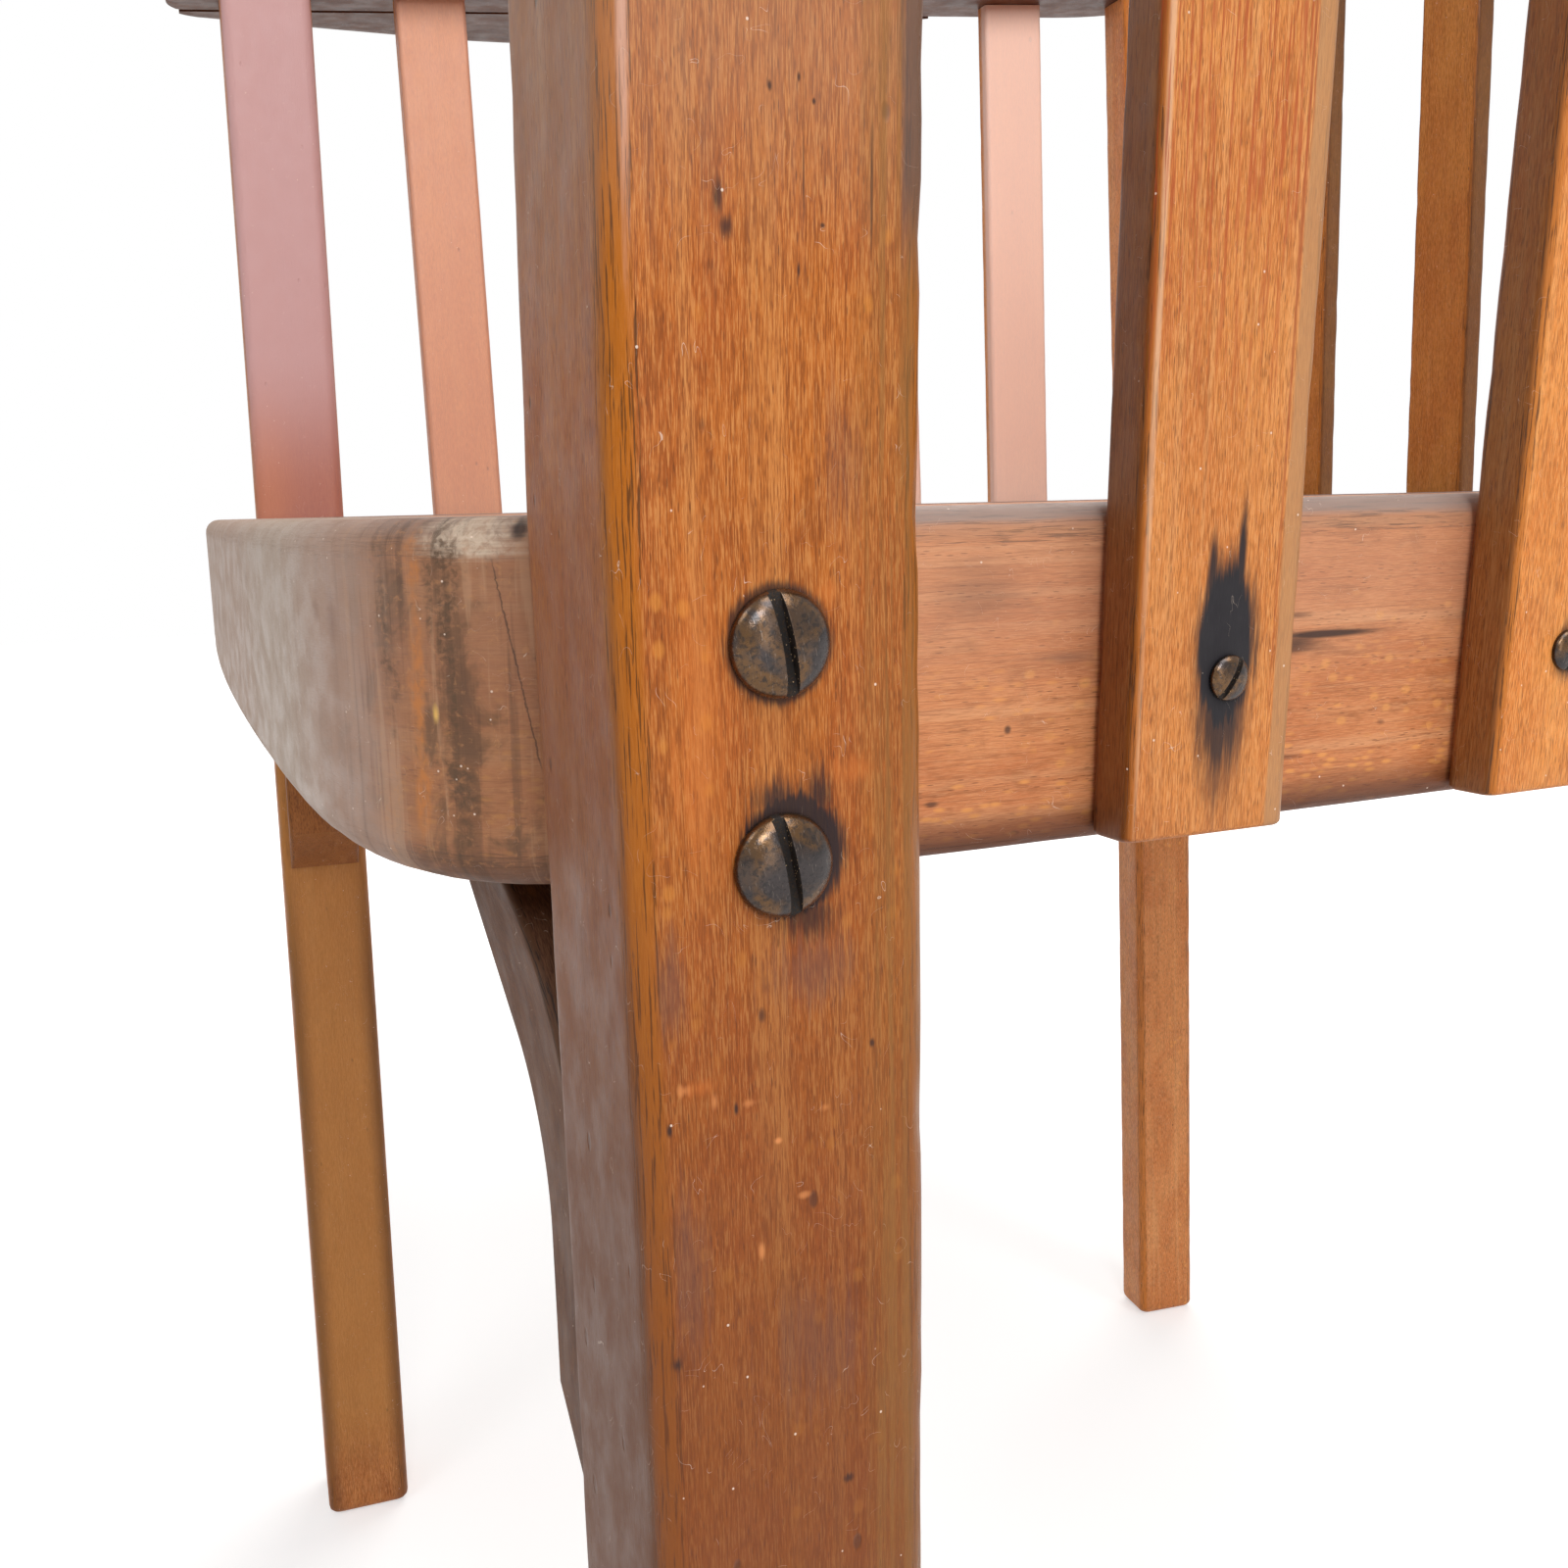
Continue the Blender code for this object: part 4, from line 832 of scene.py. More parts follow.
def screw_head(name, radius, dome, slot_width, sides, metal, dirt):
    """The mesh of a domed head with a straight slot, whose lips are softened."""
    blank = screw_blank(name, radius, dome, sides)
    cutter = slot_cutter(name, radius, dome, slot_width)
    slotting = blank.modifiers.new("slot", "BOOLEAN")
    slotting.operation = "DIFFERENCE"
    slotting.solver = "EXACT"
    slotting.object = cutter
    lips = blank.modifiers.new("lips", "BEVEL")
    lips.width = slot_width * SLOT_BEVEL_SHARE
    lips.segments = 2
    lips.limit_method = "ANGLE"
    lips.angle_limit = SLOT_BEVEL_ANGLE
    bpy.context.view_layer.update()
    evaluated = blank.evaluated_get(bpy.context.evaluated_depsgraph_get())
    head = bpy.data.meshes.new_from_object(evaluated)
    head.name = name
    head.shade_smooth()
    head.set_sharp_from_angle(angle=METAL_SHARP_ANGLE)
    head.materials.clear()
    head.materials.append(metal)
    # The slot's faces take the dark material of grit and painted shade.
    head.materials.append(dirt)
    for face in head.polygons:
        reach = max(abs(head.vertices[index].co.x) for index in face.vertices)
        face.material_index = 1 if reach < slot_width * SLOT_LIP_SHARE else 0
    bpy.data.objects.remove(blank, do_unlink=True)
    bpy.data.objects.remove(cutter, do_unlink=True)
    return head


def place_screw(node, head, origin, out, turn):
    """A copy of the head at origin, facing out, with its slot turned."""
    mesh = head.copy()
    lump = next_lump()
    place_layer = mesh.attributes.new("place", "FLOAT_VECTOR", "POINT")
    grain_layer = mesh.attributes.new("grain", "FLOAT_VECTOR", "POINT")
    for vert, place, grain in zip(mesh.vertices, place_layer.data, grain_layer.data):
        place.vector = vert.co
        grain.vector = vert.co + lump
    piece = add_object(f"{node}_head", mesh)
    rotation = out.to_track_quat("Z", "Y") @ Quaternion((0.0, 0.0, 1.0), turn)
    piece.matrix_world = Matrix.Translation(origin + SHIFT) @ rotation.to_matrix().to_4x4()
    dress(piece, node)


def place_leg_screws(head, end, side, word):
    front = end == "front"
    tangent, normal = front_leg_axes(side) if front else side_frame(side, LEG_SPAN)[1:]
    thickness = FRONT_LEG_THICKNESS if front else BACK_LEG_THICKNESS
    out = Vector((normal.x, normal.y, -LEG_LEAN if front else 0.0)).normalized()
    for row in (0, 1):
        z = SEAT_HEIGHT - LEG_SCREW_TOP_DROP - LEG_SCREW_SPACING * row
        centre = front_leg_centre(side, z) if front else back_leg_centre(side, z)
        flat = centre.xy + normal * (thickness / 2) + tangent * (LEG_SCREW_SHIFT * (row + 1))
        turn = LEG_SCREW_TURN * (side + 2 * row * (1 - side)) * side
        place_screw(f"{end}_leg_screw_{word}_{row + 1}", head, at(flat, z), out, turn)


def place_slat_screws(head):
    z = SEAT_HEIGHT - SMALL_SCREW_DROP
    for order, slat in enumerate(slat_frames()):
        name, base, tangent, normal, lean, fan = slat
        drift = SMALL_SCREW_WANDER * math.cos(SMALL_SCREW_STEP * (order - len(LEFT_SLAT_SHARES)))
        flat = slat_middle(slat, z).xy + normal * (SLAT_THICKNESS / 2) + tangent * drift
        out = Vector((normal.x, normal.y, -lean)).normalized()
        turn = SMALL_SCREW_TURN * (order + 1)
        place_screw(name.replace("slat", "slat_screw"), head, at(flat, z), out, turn)


def place_brace_screws(head, side, word):
    """One screw in the brace's upright arm and one in its level arm, each square to the face it sits on."""
    middle = brace_middle(side)
    bend_in, bend_down = brace_hollow()[-1][:2]
    down = lerp(BRACE_HOLLOW_RADIUS + BRACE_THICKNESS, BRACE_DROP - BRACE_TAPER, BRACE_SCREW_SHARE)
    run = lerp(BRACE_REACH, bend_in, BRACE_SCREW_SHARE)
    fall = lerp(BRACE_TIP, bend_down, BRACE_SCREW_SHARE)
    spots = (
        (BRACE_THICKNESS, down, 2 * BRACE_THICKNESS, down),
        (run, fall, run + bend_down - BRACE_TIP, fall + BRACE_REACH - bend_in),
    )
    for number, spot in enumerate(spots, 1):
        origin = brace_point(side, middle, *spot[:2])
        out = (brace_point(side, middle, *spot[2:]) - origin).normalized()
        place_screw(f"brace_screw_{word}_{number}", head, origin, out, SMALL_SCREW_TURN)


def make_screws(metal, dirt):
    large_sizes = LEG_SCREW_HEAD_RADIUS, LEG_SCREW_DOME, LEG_SCREW_SLOT_WIDTH
    small_sizes = SMALL_SCREW_HEAD_RADIUS, SMALL_SCREW_DOME, SMALL_SCREW_SLOT_WIDTH
    large = screw_head("large", *large_sizes, LEG_SCREW_SIDES, metal, dirt)
    small = screw_head("small", *small_sizes, SMALL_SCREW_SIDES, metal, dirt)
    for end in ("front", "back"):
        for side, word in SIDES:
            place_leg_screws(large, end, side, word)
    place_slat_screws(small)
    for side, word in SIDES:
        place_brace_screws(small, side, word)
    out = Vector((0.0, ARM_SLOPE, -1.0)).normalized()
    for side, word in SIDES:
        flat = BOW.back_point(side * BACK_SLAT_PITCH * 3 / 2)
        place_screw(f"crest_screw_{word}", small, at(flat, arm_underside(flat.y)), out, 0.0)


# Materials

MM_IN_METRE = 1000.0


def srgb(red, green, blue):
    """A colour as a photograph gives it, turned into linear light."""
    parts = [value / 255 for value in (red, green, blue)]
    return tuple(part / 12.92 if part <= 0.04045 else ((part + 0.055) / 1.055) ** 2.4 for part in parts)


def shade(colour, share):
    return tuple(part * share for part in colour)


class Field:
    """A number, vector or colour over a surface. A sum with it adds the node that works the sum out."""

    def __init__(self, graph, socket):
        self.graph = graph
        self.socket = socket

    def output(self, name):
        """Another output of the same node."""
        return Field(self.graph, self.socket.node.outputs[name])

    def __add__(self, other):
        return self.graph.math("ADD", self, other)

    def __sub__(self, other):
        return self.graph.math("SUBTRACT", self, other)

    def __mul__(self, other):
        return self.graph.math("MULTIPLY", self, other)

    def __or__(self, other):
        """The greater of the two, for masks laid together."""
        return self.graph.math("MAXIMUM", self, other)

    def __abs__(self):
        return self.graph.math("ABSOLUTE", self)

    def ramp(self, start, end, at_start=0.0, at_end=1.0):
        """A smooth change from at_start to at_end as this goes from start to end."""
        inputs = dict(enumerate((self, start, end, at_start, at_end)))
        return self.graph.add("ShaderNodeMapRange", inputs, interpolation_type="SMOOTHSTEP")


class Graph:
    """The nodes of one material or world. colour is what has been laid on it so far."""

    def __init__(self, owner):
        owner.use_nodes = True
        self.owner = owner
        self.tree = owner.node_tree
        self.tree.nodes.clear()

    def feed(self, socket, value):
        if isinstance(value, Field):
            self.tree.links.new(value.socket, socket)
        else:
            socket.default_value = (*value, 1.0) if socket.type == "RGBA" else value

    def add(self, kind, inputs, output=0, **settings):
        """Add a node, feed its inputs by name or number, and give one of its outputs."""
        made = self.tree.nodes.new(kind)
        for key, value in settings.items():
            setattr(made, key, value)
        for key, value in inputs.items():
            self.feed(made.inputs[key], value)
        return Field(self, made.outputs[output])

    def math(self, operation, a, b=0.0):
        return self.add("ShaderNodeMath", {0: a, 1: b}, operation=operation)

    def vector(self, operation, a, b=(0.0, 0.0, 0.0), output="Vector"):
        return self.add("ShaderNodeVectorMath", {0: a, 1: b}, output, operation=operation)

    def length(self, vector):
        return self.vector("LENGTH", vector, output="Value")

    def millimetres(self, name):
        """A vector that the mesh carries in metres."""
        made = self.add("ShaderNodeAttribute", {}, "Vector", attribute_name=name)
        return self.vector("MULTIPLY", made, (MM_IN_METRE,) * 3)

    def parts(self, vector):
        first = self.add("ShaderNodeSeparateXYZ", {0: vector})
        return first, first.output(1), first.output(2)

    def noise(self, vector, scale, detail=2.0, rough=0.5, distortion=0.0):
        stretched = self.vector("MULTIPLY", vector, scale)
        inputs = {"Vector": stretched, "Scale": 1.0, "Detail": detail, "Roughness": rough}
        return self.add("ShaderNodeTexNoise", {**inputs, "Distortion": distortion}, "Fac")

    def specks(self, vector, scale, rim, chance, vary=0.0):
        """Round specks, at most one in a cell.

        rim is where a speck starts and where it is full, chance picks the cells, and vary makes some larger.
        """
        stretched = self.vector("MULTIPLY", vector, scale)
        far = self.add("ShaderNodeTexVoronoi", {"Vector": stretched, "Scale": 1.0}, "Distance")
        pick = self.add("ShaderNodeSeparateColor", {0: far.output("Color")})
        if vary:
            far = far - pick.output(1) * vary
        return far.ramp(*rim) * pick.ramp(*chance)

    def mix(self, share, a, b):
        return self.add("ShaderNodeMix", {0: share, 6: a, 7: b}, 2, data_type="RGBA")

    def lay(self, mask, colour):
        """Lay a coat of colour where mask is."""
        self.colour = self.mix(mask, self.colour, colour)

    def surface(self, shader, kind="ShaderNodeOutputMaterial"):
        self.feed(self.tree.nodes.new(kind).inputs["Surface"], shader)

    def finish(self, rough, height, strength, depth, settings):
        """Join colour, roughness and bump to the shader. Its settings are the same all over the surface."""
        relief = {"Strength": strength, "Distance": depth, "Height": height}
        bump = self.add("ShaderNodeBump", relief, "Normal")
        inputs = {"Base Color": self.colour, "Roughness": rough, "Normal": bump, **settings}
        if "Coat Weight" in settings:
            inputs["Coat Normal"] = bump
        self.surface(self.add("ShaderNodeBsdfPrincipled", inputs))
        return self.owner


def wood(name, tones, edge_strength=0.8, spots=0.5, mottle=0.5, coarse=0.55, polish=0.10, matt=0.0,
         gloss=0.36, paint=None):
    """Old beech under shellac: fibres, flecks, pores, dents, dust and darkened edges, all along the grain.

    coarse is how plain the fibres show, polish is how much smoother the edges are, and matt is added
    roughness. paint lays what only one piece has over the colour so far, and may give a mask of soot.
    """
    base, deep, pale, edge_tone = [srgb(*tone) for tone in tones]
    g = Graph(bpy.data.materials.new(name))
    g.grain = grain = g.millimetres("grain")
    g.place = g.millimetres("place")
    edge = g.add("ShaderNodeAttribute", {}, "Fac", attribute_name="edge")

    fibre = g.noise(grain, (7.5, 7.5, 0.42), 2.0, 0.62)
    strand = g.noise(grain, (2.2, 2.2, 0.06), 3.0, 0.6, 0.3)
    band = g.noise(grain, (0.32, 0.32, 0.008), 2.0, 0.5, 0.6)
    cloud = g.noise(grain, (0.08, 0.08, 0.035), 3.0, 0.55, 0.4)
    patch = g.noise(grain, (0.21, 0.21, 0.09), 4.0, 0.6, 0.8)
    g.colour = base
    g.lay(cloud.ramp(0.36, 0.66), deep)
    g.lay(patch.ramp(0.50, 0.74) * mottle, shade(deep, 0.55))
    g.lay(band.ramp(0.52, 0.72, 0.0, 0.35), pale)
    g.lay(strand.ramp(0.50, 0.68, 0.0, 0.55), shade(deep, 0.62))
    g.lay(fibre.ramp(0.52, 0.62, 0.0, coarse), pale)
    g.lay(fibre.ramp(0.48, 0.38, 0.0, coarse), shade(deep, 0.38))

    pore = g.specks(grain, (2.4, 2.4, 0.36), (0.28, 0.12), (0.60, 0.64))
    g.lay(pore * 0.6, shade(deep, 0.30))
    spot_zone = g.noise(grain, (0.035, 0.035, 0.02), 1.0).ramp(0.46, 0.58)
    spot = g.specks(grain, (0.36, 0.36, 0.26), (0.36, 0.14), (0.66, 0.70)) * spot_zone
    g.lay(spot * spots, (pale[0] * 1.08, pale[1] * 0.92, pale[2] * 0.5))
    dent = g.specks(grain, (0.19, 0.19, 0.095), (0.07, 0.0), (0.76, 0.78), vary=0.10)
    g.lay(dent * 0.82, srgb(62, 38, 30))
    g.lay(edge.ramp(0.12, 0.75) * edge_strength, edge_tone)
    grime = edge.ramp(0.0, 0.25) * streaks(g, 3.4, 0.55, 0.61)
    g.lay(grime * 0.8, shade(edge_tone, 0.16))
    soot = paint(g) if paint else None
    if soot:
        g.lay(soot, srgb(27, 23, 27))

    dust = g.specks(grain, (0.34, 0.34, 0.30), (0.066, 0.040), (0.66, 0.68))
    hair = abs(g.noise(grain, (0.20, 0.20, 0.17), 1.0, 0.5, 1.6) - 0.52).ramp(0.0024, 0.0008)
    hair_zone = g.noise(grain, (0.35, 0.35, 0.3), 1.0).ramp(0.58, 0.64)
    litter = dust | hair * hair_zone * 0.6
    g.lay(litter * 0.75, srgb(240, 216, 196))

    height = fibre * 0.45 + strand * 0.5 + dent * -2.5 + pore * -0.5 + grime * -0.6 + litter * 0.5
    worn = g.noise(grain, (0.16, 0.16, 0.10), 3.0, 0.6)
    rough = worn.ramp(0.3, 0.7, 0.36 + matt, 0.52 + matt)
    rough = rough + fibre.ramp(0.4, 0.6) * 0.07 + edge.ramp(0.1, 0.8) * -polish
    if soot:
        rough = rough + soot * 0.12
    return g.finish(rough, height, 0.6, 0.0001, {"IOR": 1.45, "Specular IOR Level": gloss})


def streaks(g, coarse, low, high):
    """Thin dark streaks of dirt that run with the grain. coarse is about how many lie on a millimetre."""
    return g.noise(g.grain, (coarse, coarse, coarse * 0.03), 3.0, 0.6).ramp(low, high)


def ragged(g, fine, amount):
    """A noise about zero, drawn out along the grain, that frays the outline of a mark."""
    return g.noise(g.grain, (fine, fine, fine * 0.045), 3.0, 0.65) * (amount * 2) - amount


def marks(g, axes, fray, rows):
    """Soft ellipses on the wood, along two axes of place.

    A row holds a mark's middle and half sizes in mm, its strength, how much of fray frays it, and the share
    of its size at which it is full.
    """
    laid = None
    for first, second, half_first, half_second, strength, frayed, soft in rows:
        middle, scale = [0.0] * 3, [0.0] * 3
        middle[axes[0]], middle[axes[1]] = first, second
        scale[axes[0]], scale[axes[1]] = 1 / half_first, 1 / half_second
        away = g.length(g.vector("MULTIPLY", g.vector("SUBTRACT", g.place, middle), scale))
        if frayed:
            away = away + fray * frayed
        mark = away.ramp(1.0, soft, 0.0, strength)
        laid = laid | mark if laid else mark
    return laid


UPRIGHT_FACE = (0, 2)
RAIL_FACE = (1, 2)


def near_leg_paint(g):
    """The right front leg: painted shade towards the floor and on its front face, a painted sheen high on that
    face and a painted highlight by its front edge, ochre along its rear edge, and marks and soot below.
    """
    across, out, along = g.parts(g.place)
    face = out.ramp(14.0, 15.5)
    rag = ragged(g, 1.5, 0.9)
    # Painted shade: the leg darkens towards the floor, as the light falls from above.
    g.lay(along.ramp(465.0, 320.0, 0.0, 0.70), srgb(100, 50, 20))
    # Painted shade on the front face, which faces away from the light, deepening lower down; and a painted
    # grey sheen at its top, as the face reflects the bright room at a grazing angle.
    front = across.ramp(-18.0, -18.7)
    g.lay(front * along.ramp(480.0, 340.0, 0.26, 0.76), srgb(90, 50, 20))
    g.lay(front * along.ramp(455.0, 500.0, 0.0, 0.35), srgb(150, 130, 112))
    g.lay((rag * 12.0 + along).ramp(470.0, 500.0, 0.0, 0.3) * face, srgb(152, 122, 104))
    bands = g.noise(g.grain, (0.9, 0.9, 0.02), 3.0, 0.6).ramp(0.40, 0.62)
    g.lay((rag * 2.2 + across).ramp(8.5, 12.5) * face * (bands * 0.45 + 0.22), srgb(136, 92, 46))
    rear_edge = (rag * 1.2 + across).ramp(14.2, 15.4) * face * along.ramp(472.0, 486.0)
    g.lay(rear_edge * 0.75, srgb(88, 72, 66))
    haze = marks(g, UPRIGHT_FACE, rag, (
        (3.0, 398.0, 9.0, 6.5, 0.5, 1.0, 0.1),
        (-14.5, 398.0, 2.6, 9.0, 0.5, 1.0, 0.1),
        (-13.5, 362.0, 3.0, 16.0, 0.45, 1.0, 0.1),
        (8.0, 455.0, 4.0, 12.0, 0.35, 1.0, 0.1),
        (2.5, 350.0, 9.0, 12.0, 0.4, 1.0, 0.1),
    ))
    g.lay(haze * face, srgb(96, 66, 58))
    # Painted highlight: a pinkish-white line on the outer face along the rounded front edge.
    painted_highlight = marks(g, UPRIGHT_FACE, rag, [(-16.3, 505.0, 0.75, 38.0, 0.5, 0.6, 0.2)])
    g.lay(painted_highlight * face, srgb(226, 182, 164))
    warm = marks(g, UPRIGHT_FACE, rag, (
        (8.0, 421.0, 5.5, 2.2, 0.4, 1.0, 0.0),
        (5.5, 441.0, 2.0, 2.0, 0.4, 1.0, 0.0),
        (-10.0, 428.0, 5.0, 26.0, 0.45, 1.0, 0.1),
        (-11.5, 386.0, 3.0, 1.4, 0.4, 1.0, 0.0),
    ))
    g.lay(warm * face, srgb(200, 108, 44))
    pale = marks(g, UPRIGHT_FACE, rag, (
        (-13.5, 386.0, 1.0, 1.0, 0.5, 1.0, 0.0),
        (-9.8, 384.0, 0.7, 1.4, 0.45, 1.0, 0.0),
        (-5.5, 383.0, 1.4, 0.7, 0.45, 1.0, 0.0),
        (4.2, 380.6, 1.0, 0.7, 0.4, 1.0, 0.0),
        (-2.0, 377.6, 0.7, 0.6, 0.7, 0.0, 0.2),
        (1.2, 370.0, 1.2, 0.7, 0.5, 0.0, 0.2),
        (-4.5, 364.0, 0.6, 1.6, 0.6, 0.0, 0.2),
    ))
    g.lay(pale * face, srgb(222, 142, 84))
    dark = marks(g, UPRIGHT_FACE, ragged(g, 2.4, 0.75), (
        (-6.5, 481.5, 1.0, 2.6, 0.75, 0.5, 0.1),
        (-5.6, 478.6, 1.2, 1.8, 0.8, 0.5, 0.1),
        (-0.6, 492.5, 0.35, 0.8, 0.85, 0.0, 0.2),
        (2.7, 493.6, 0.30, 0.7, 0.8, 0.0, 0.2),
        (4.4, 491.4, 0.30, 0.5, 0.85, 0.0, 0.2),
        (5.4, 479.3, 0.45, 0.4, 0.8, 0.0, 0.2),
        (2.6, 474.7, 0.25, 1.2, 0.85, 0.0, 0.2),
        (3.2, 484.5, 0.16, 6.0, 0.6, 0.0, 0.3),
        (11.2, 483.0, 0.22, 9.0, 0.6, 0.0, 0.3),
        (-7.2, 382.6, 0.40, 1.1, 0.85, 0.0, 0.2),
        (10.5, 387.6, 0.5, 0.8, 0.8, 0.0, 0.2),
        (-15.4, 381.5, 0.5, 1.2, 0.85, 0.0, 0.2),
        (-15.6, 352.0, 0.9, 1.5, 0.85, 1.0, 0.2),
        (6.6, 330.0, 1.0, 0.9, 0.75, 1.0, 0.2),
        (0.7, 411.7, 7.6, 8.3, 0.95, 0.30, 0.78),
        (-1.2, 418.2, 4.2, 3.8, 0.85, 1.0, 0.2),
        (4.4, 418.4, 2.2, 5.4, 0.85, 1.0, 0.2),
        (2.6, 404.4, 4.8, 4.2, 0.8, 1.0, 0.2),
        (-0.3, 435.8, 7.1, 7.3, 0.8, 0.20, 0.84),
    ))
    return dark * face


def far_leg_paint(g):
    """The left front leg: its inner face carries a pale pink painted sheen above the seat, and is amber with
    dark edges below it, and its front face is in painted shade.
    """
    across, out, along = g.parts(g.place)
    # Painted shade on the front face, deepening lower down, as on the right front leg.
    front = across.ramp(-18.0, -18.7) * along.ramp(480.0, 340.0, 0.2, 0.6)
    plain = g.mix(front, g.colour, srgb(78, 44, 18))
    # Painted sheen: the inner face is painted mauve at the rail and pale pink above the seat, as if it
    # reflected the bright sky.
    g.lay(along.ramp(425.0, 452.0, 0.0, 0.85), srgb(170, 108, 96))
    g.lay(across.ramp(4.0, -12.0) * 0.35 * along.ramp(440.0, 455.0), srgb(206, 128, 84))
    g.lay(along.ramp(455.0, 520.0, 0.0, 0.9), srgb(194, 152, 150))
    g.lay(along.ramp(440.0, 400.0, 0.0, 0.7) * along.ramp(0.0, 60.0), srgb(186, 126, 62))
    g.lay(abs(across).ramp(9.0, 16.5) * along.ramp(330.0, 240.0, 0.0, 0.6), srgb(92, 56, 26))
    g.colour = g.mix(out.ramp(-13.5, -15.5), plain, g.colour)


def paint_side_shade(g, across):
    """Lay painted shade on a slat's narrow side towards the front, which lies in shade."""
    g.lay(across.ramp(-13.8, -14.5, 0.0, 0.62), srgb(58, 35, 22))


def near_slat_paint(g):
    """The right side's front slat: iron has blackened the wood about its screw, one edge is browner, its
    narrow front side is in painted shade, and a painted highlight runs along its front edge.
    """
    across, out, along = g.parts(g.place)
    face = out.ramp(2.8, 3.6)
    rag = ragged(g, 1.3, 0.8)
    # Painted shade on the narrow front side.
    paint_side_shade(g, across)
    strip = (rag * 0.8 + across).ramp(10.2, 10.9) * face
    g.lay(strip * 0.72, srgb(176, 130, 88))
    # Painted highlight: a pale pink line on the face along the rounded front edge.
    painted_highlight = marks(g, UPRIGHT_FACE, rag, [(-13.3, 500.0, 0.65, 130.0, 0.55, 0.5, 0.2)])
    g.lay(painted_highlight * face, srgb(238, 192, 152))
    line = marks(g, UPRIGHT_FACE, rag, [(9.9, 500.0, 0.4, 120.0, 0.7, 0.0, 0.2)])
    g.lay(line * face, srgb(150, 66, 30))
    red = streaks(g, 1.5, 0.50, 0.60) * along.ramp(446.0, 500.0, 0.1, 0.75)
    g.lay(red * (strip * -1.0 + 1.0) * face, srgb(168, 74, 32))
    fray = ragged(g, 1.6, 0.42)
    haze = marks(g, UPRIGHT_FACE, fray, [(1.2, 423.0, 6.8, 27.0, 0.6, 1.0, 0.25)])
    g.lay(haze * face, srgb(122, 74, 44))
    dark = marks(g, UPRIGHT_FACE, fray, (
        (1.3, 429.0, 6.5, 15.5, 1.0, 0.7, 0.66),
        (0.9, 419.5, 6.4, 13.5, 0.88, 0.9, 0.35),
        (0.4, 411.0, 4.0, 9.0, 0.5, 1.0, 0.1),
        (-1.9, 438.5, 1.2, 9.5, 0.95, 0.6, 0.3),
        (3.2, 441.0, 1.1, 12.5, 0.97, 0.6, 0.3),
    ))
    return dark * face


def slat_paint(g):
    """A slat's narrow side in painted shade, and a small dark ring of iron stain about its screw."""
    across, out, along = g.parts(g.place)
    # Painted shade on the narrow front side.
    paint_side_shade(g, across)
    dark = marks(g, UPRIGHT_FACE, ragged(g, 1.6, 0.6), [(0.0, 424.5, 4.4, 6.5, 0.8, 1.0, 0.4)])
    return dark * out.ramp(2.8, 3.6)


def painted_sheen(tone, strength):
    """Paint for a left slat: a pale pink painted sheen on its inner face, as if it reflected the bright sky.
    tone is the sheen's colour.
    """
    def paint(g):
        out = g.parts(g.place)[1]
        # Painted sheen on the inner face.
        g.lay(out.ramp(1.5, -1.5, 0.0, 1.0), g.mix(strength, g.colour, tone))
    return paint


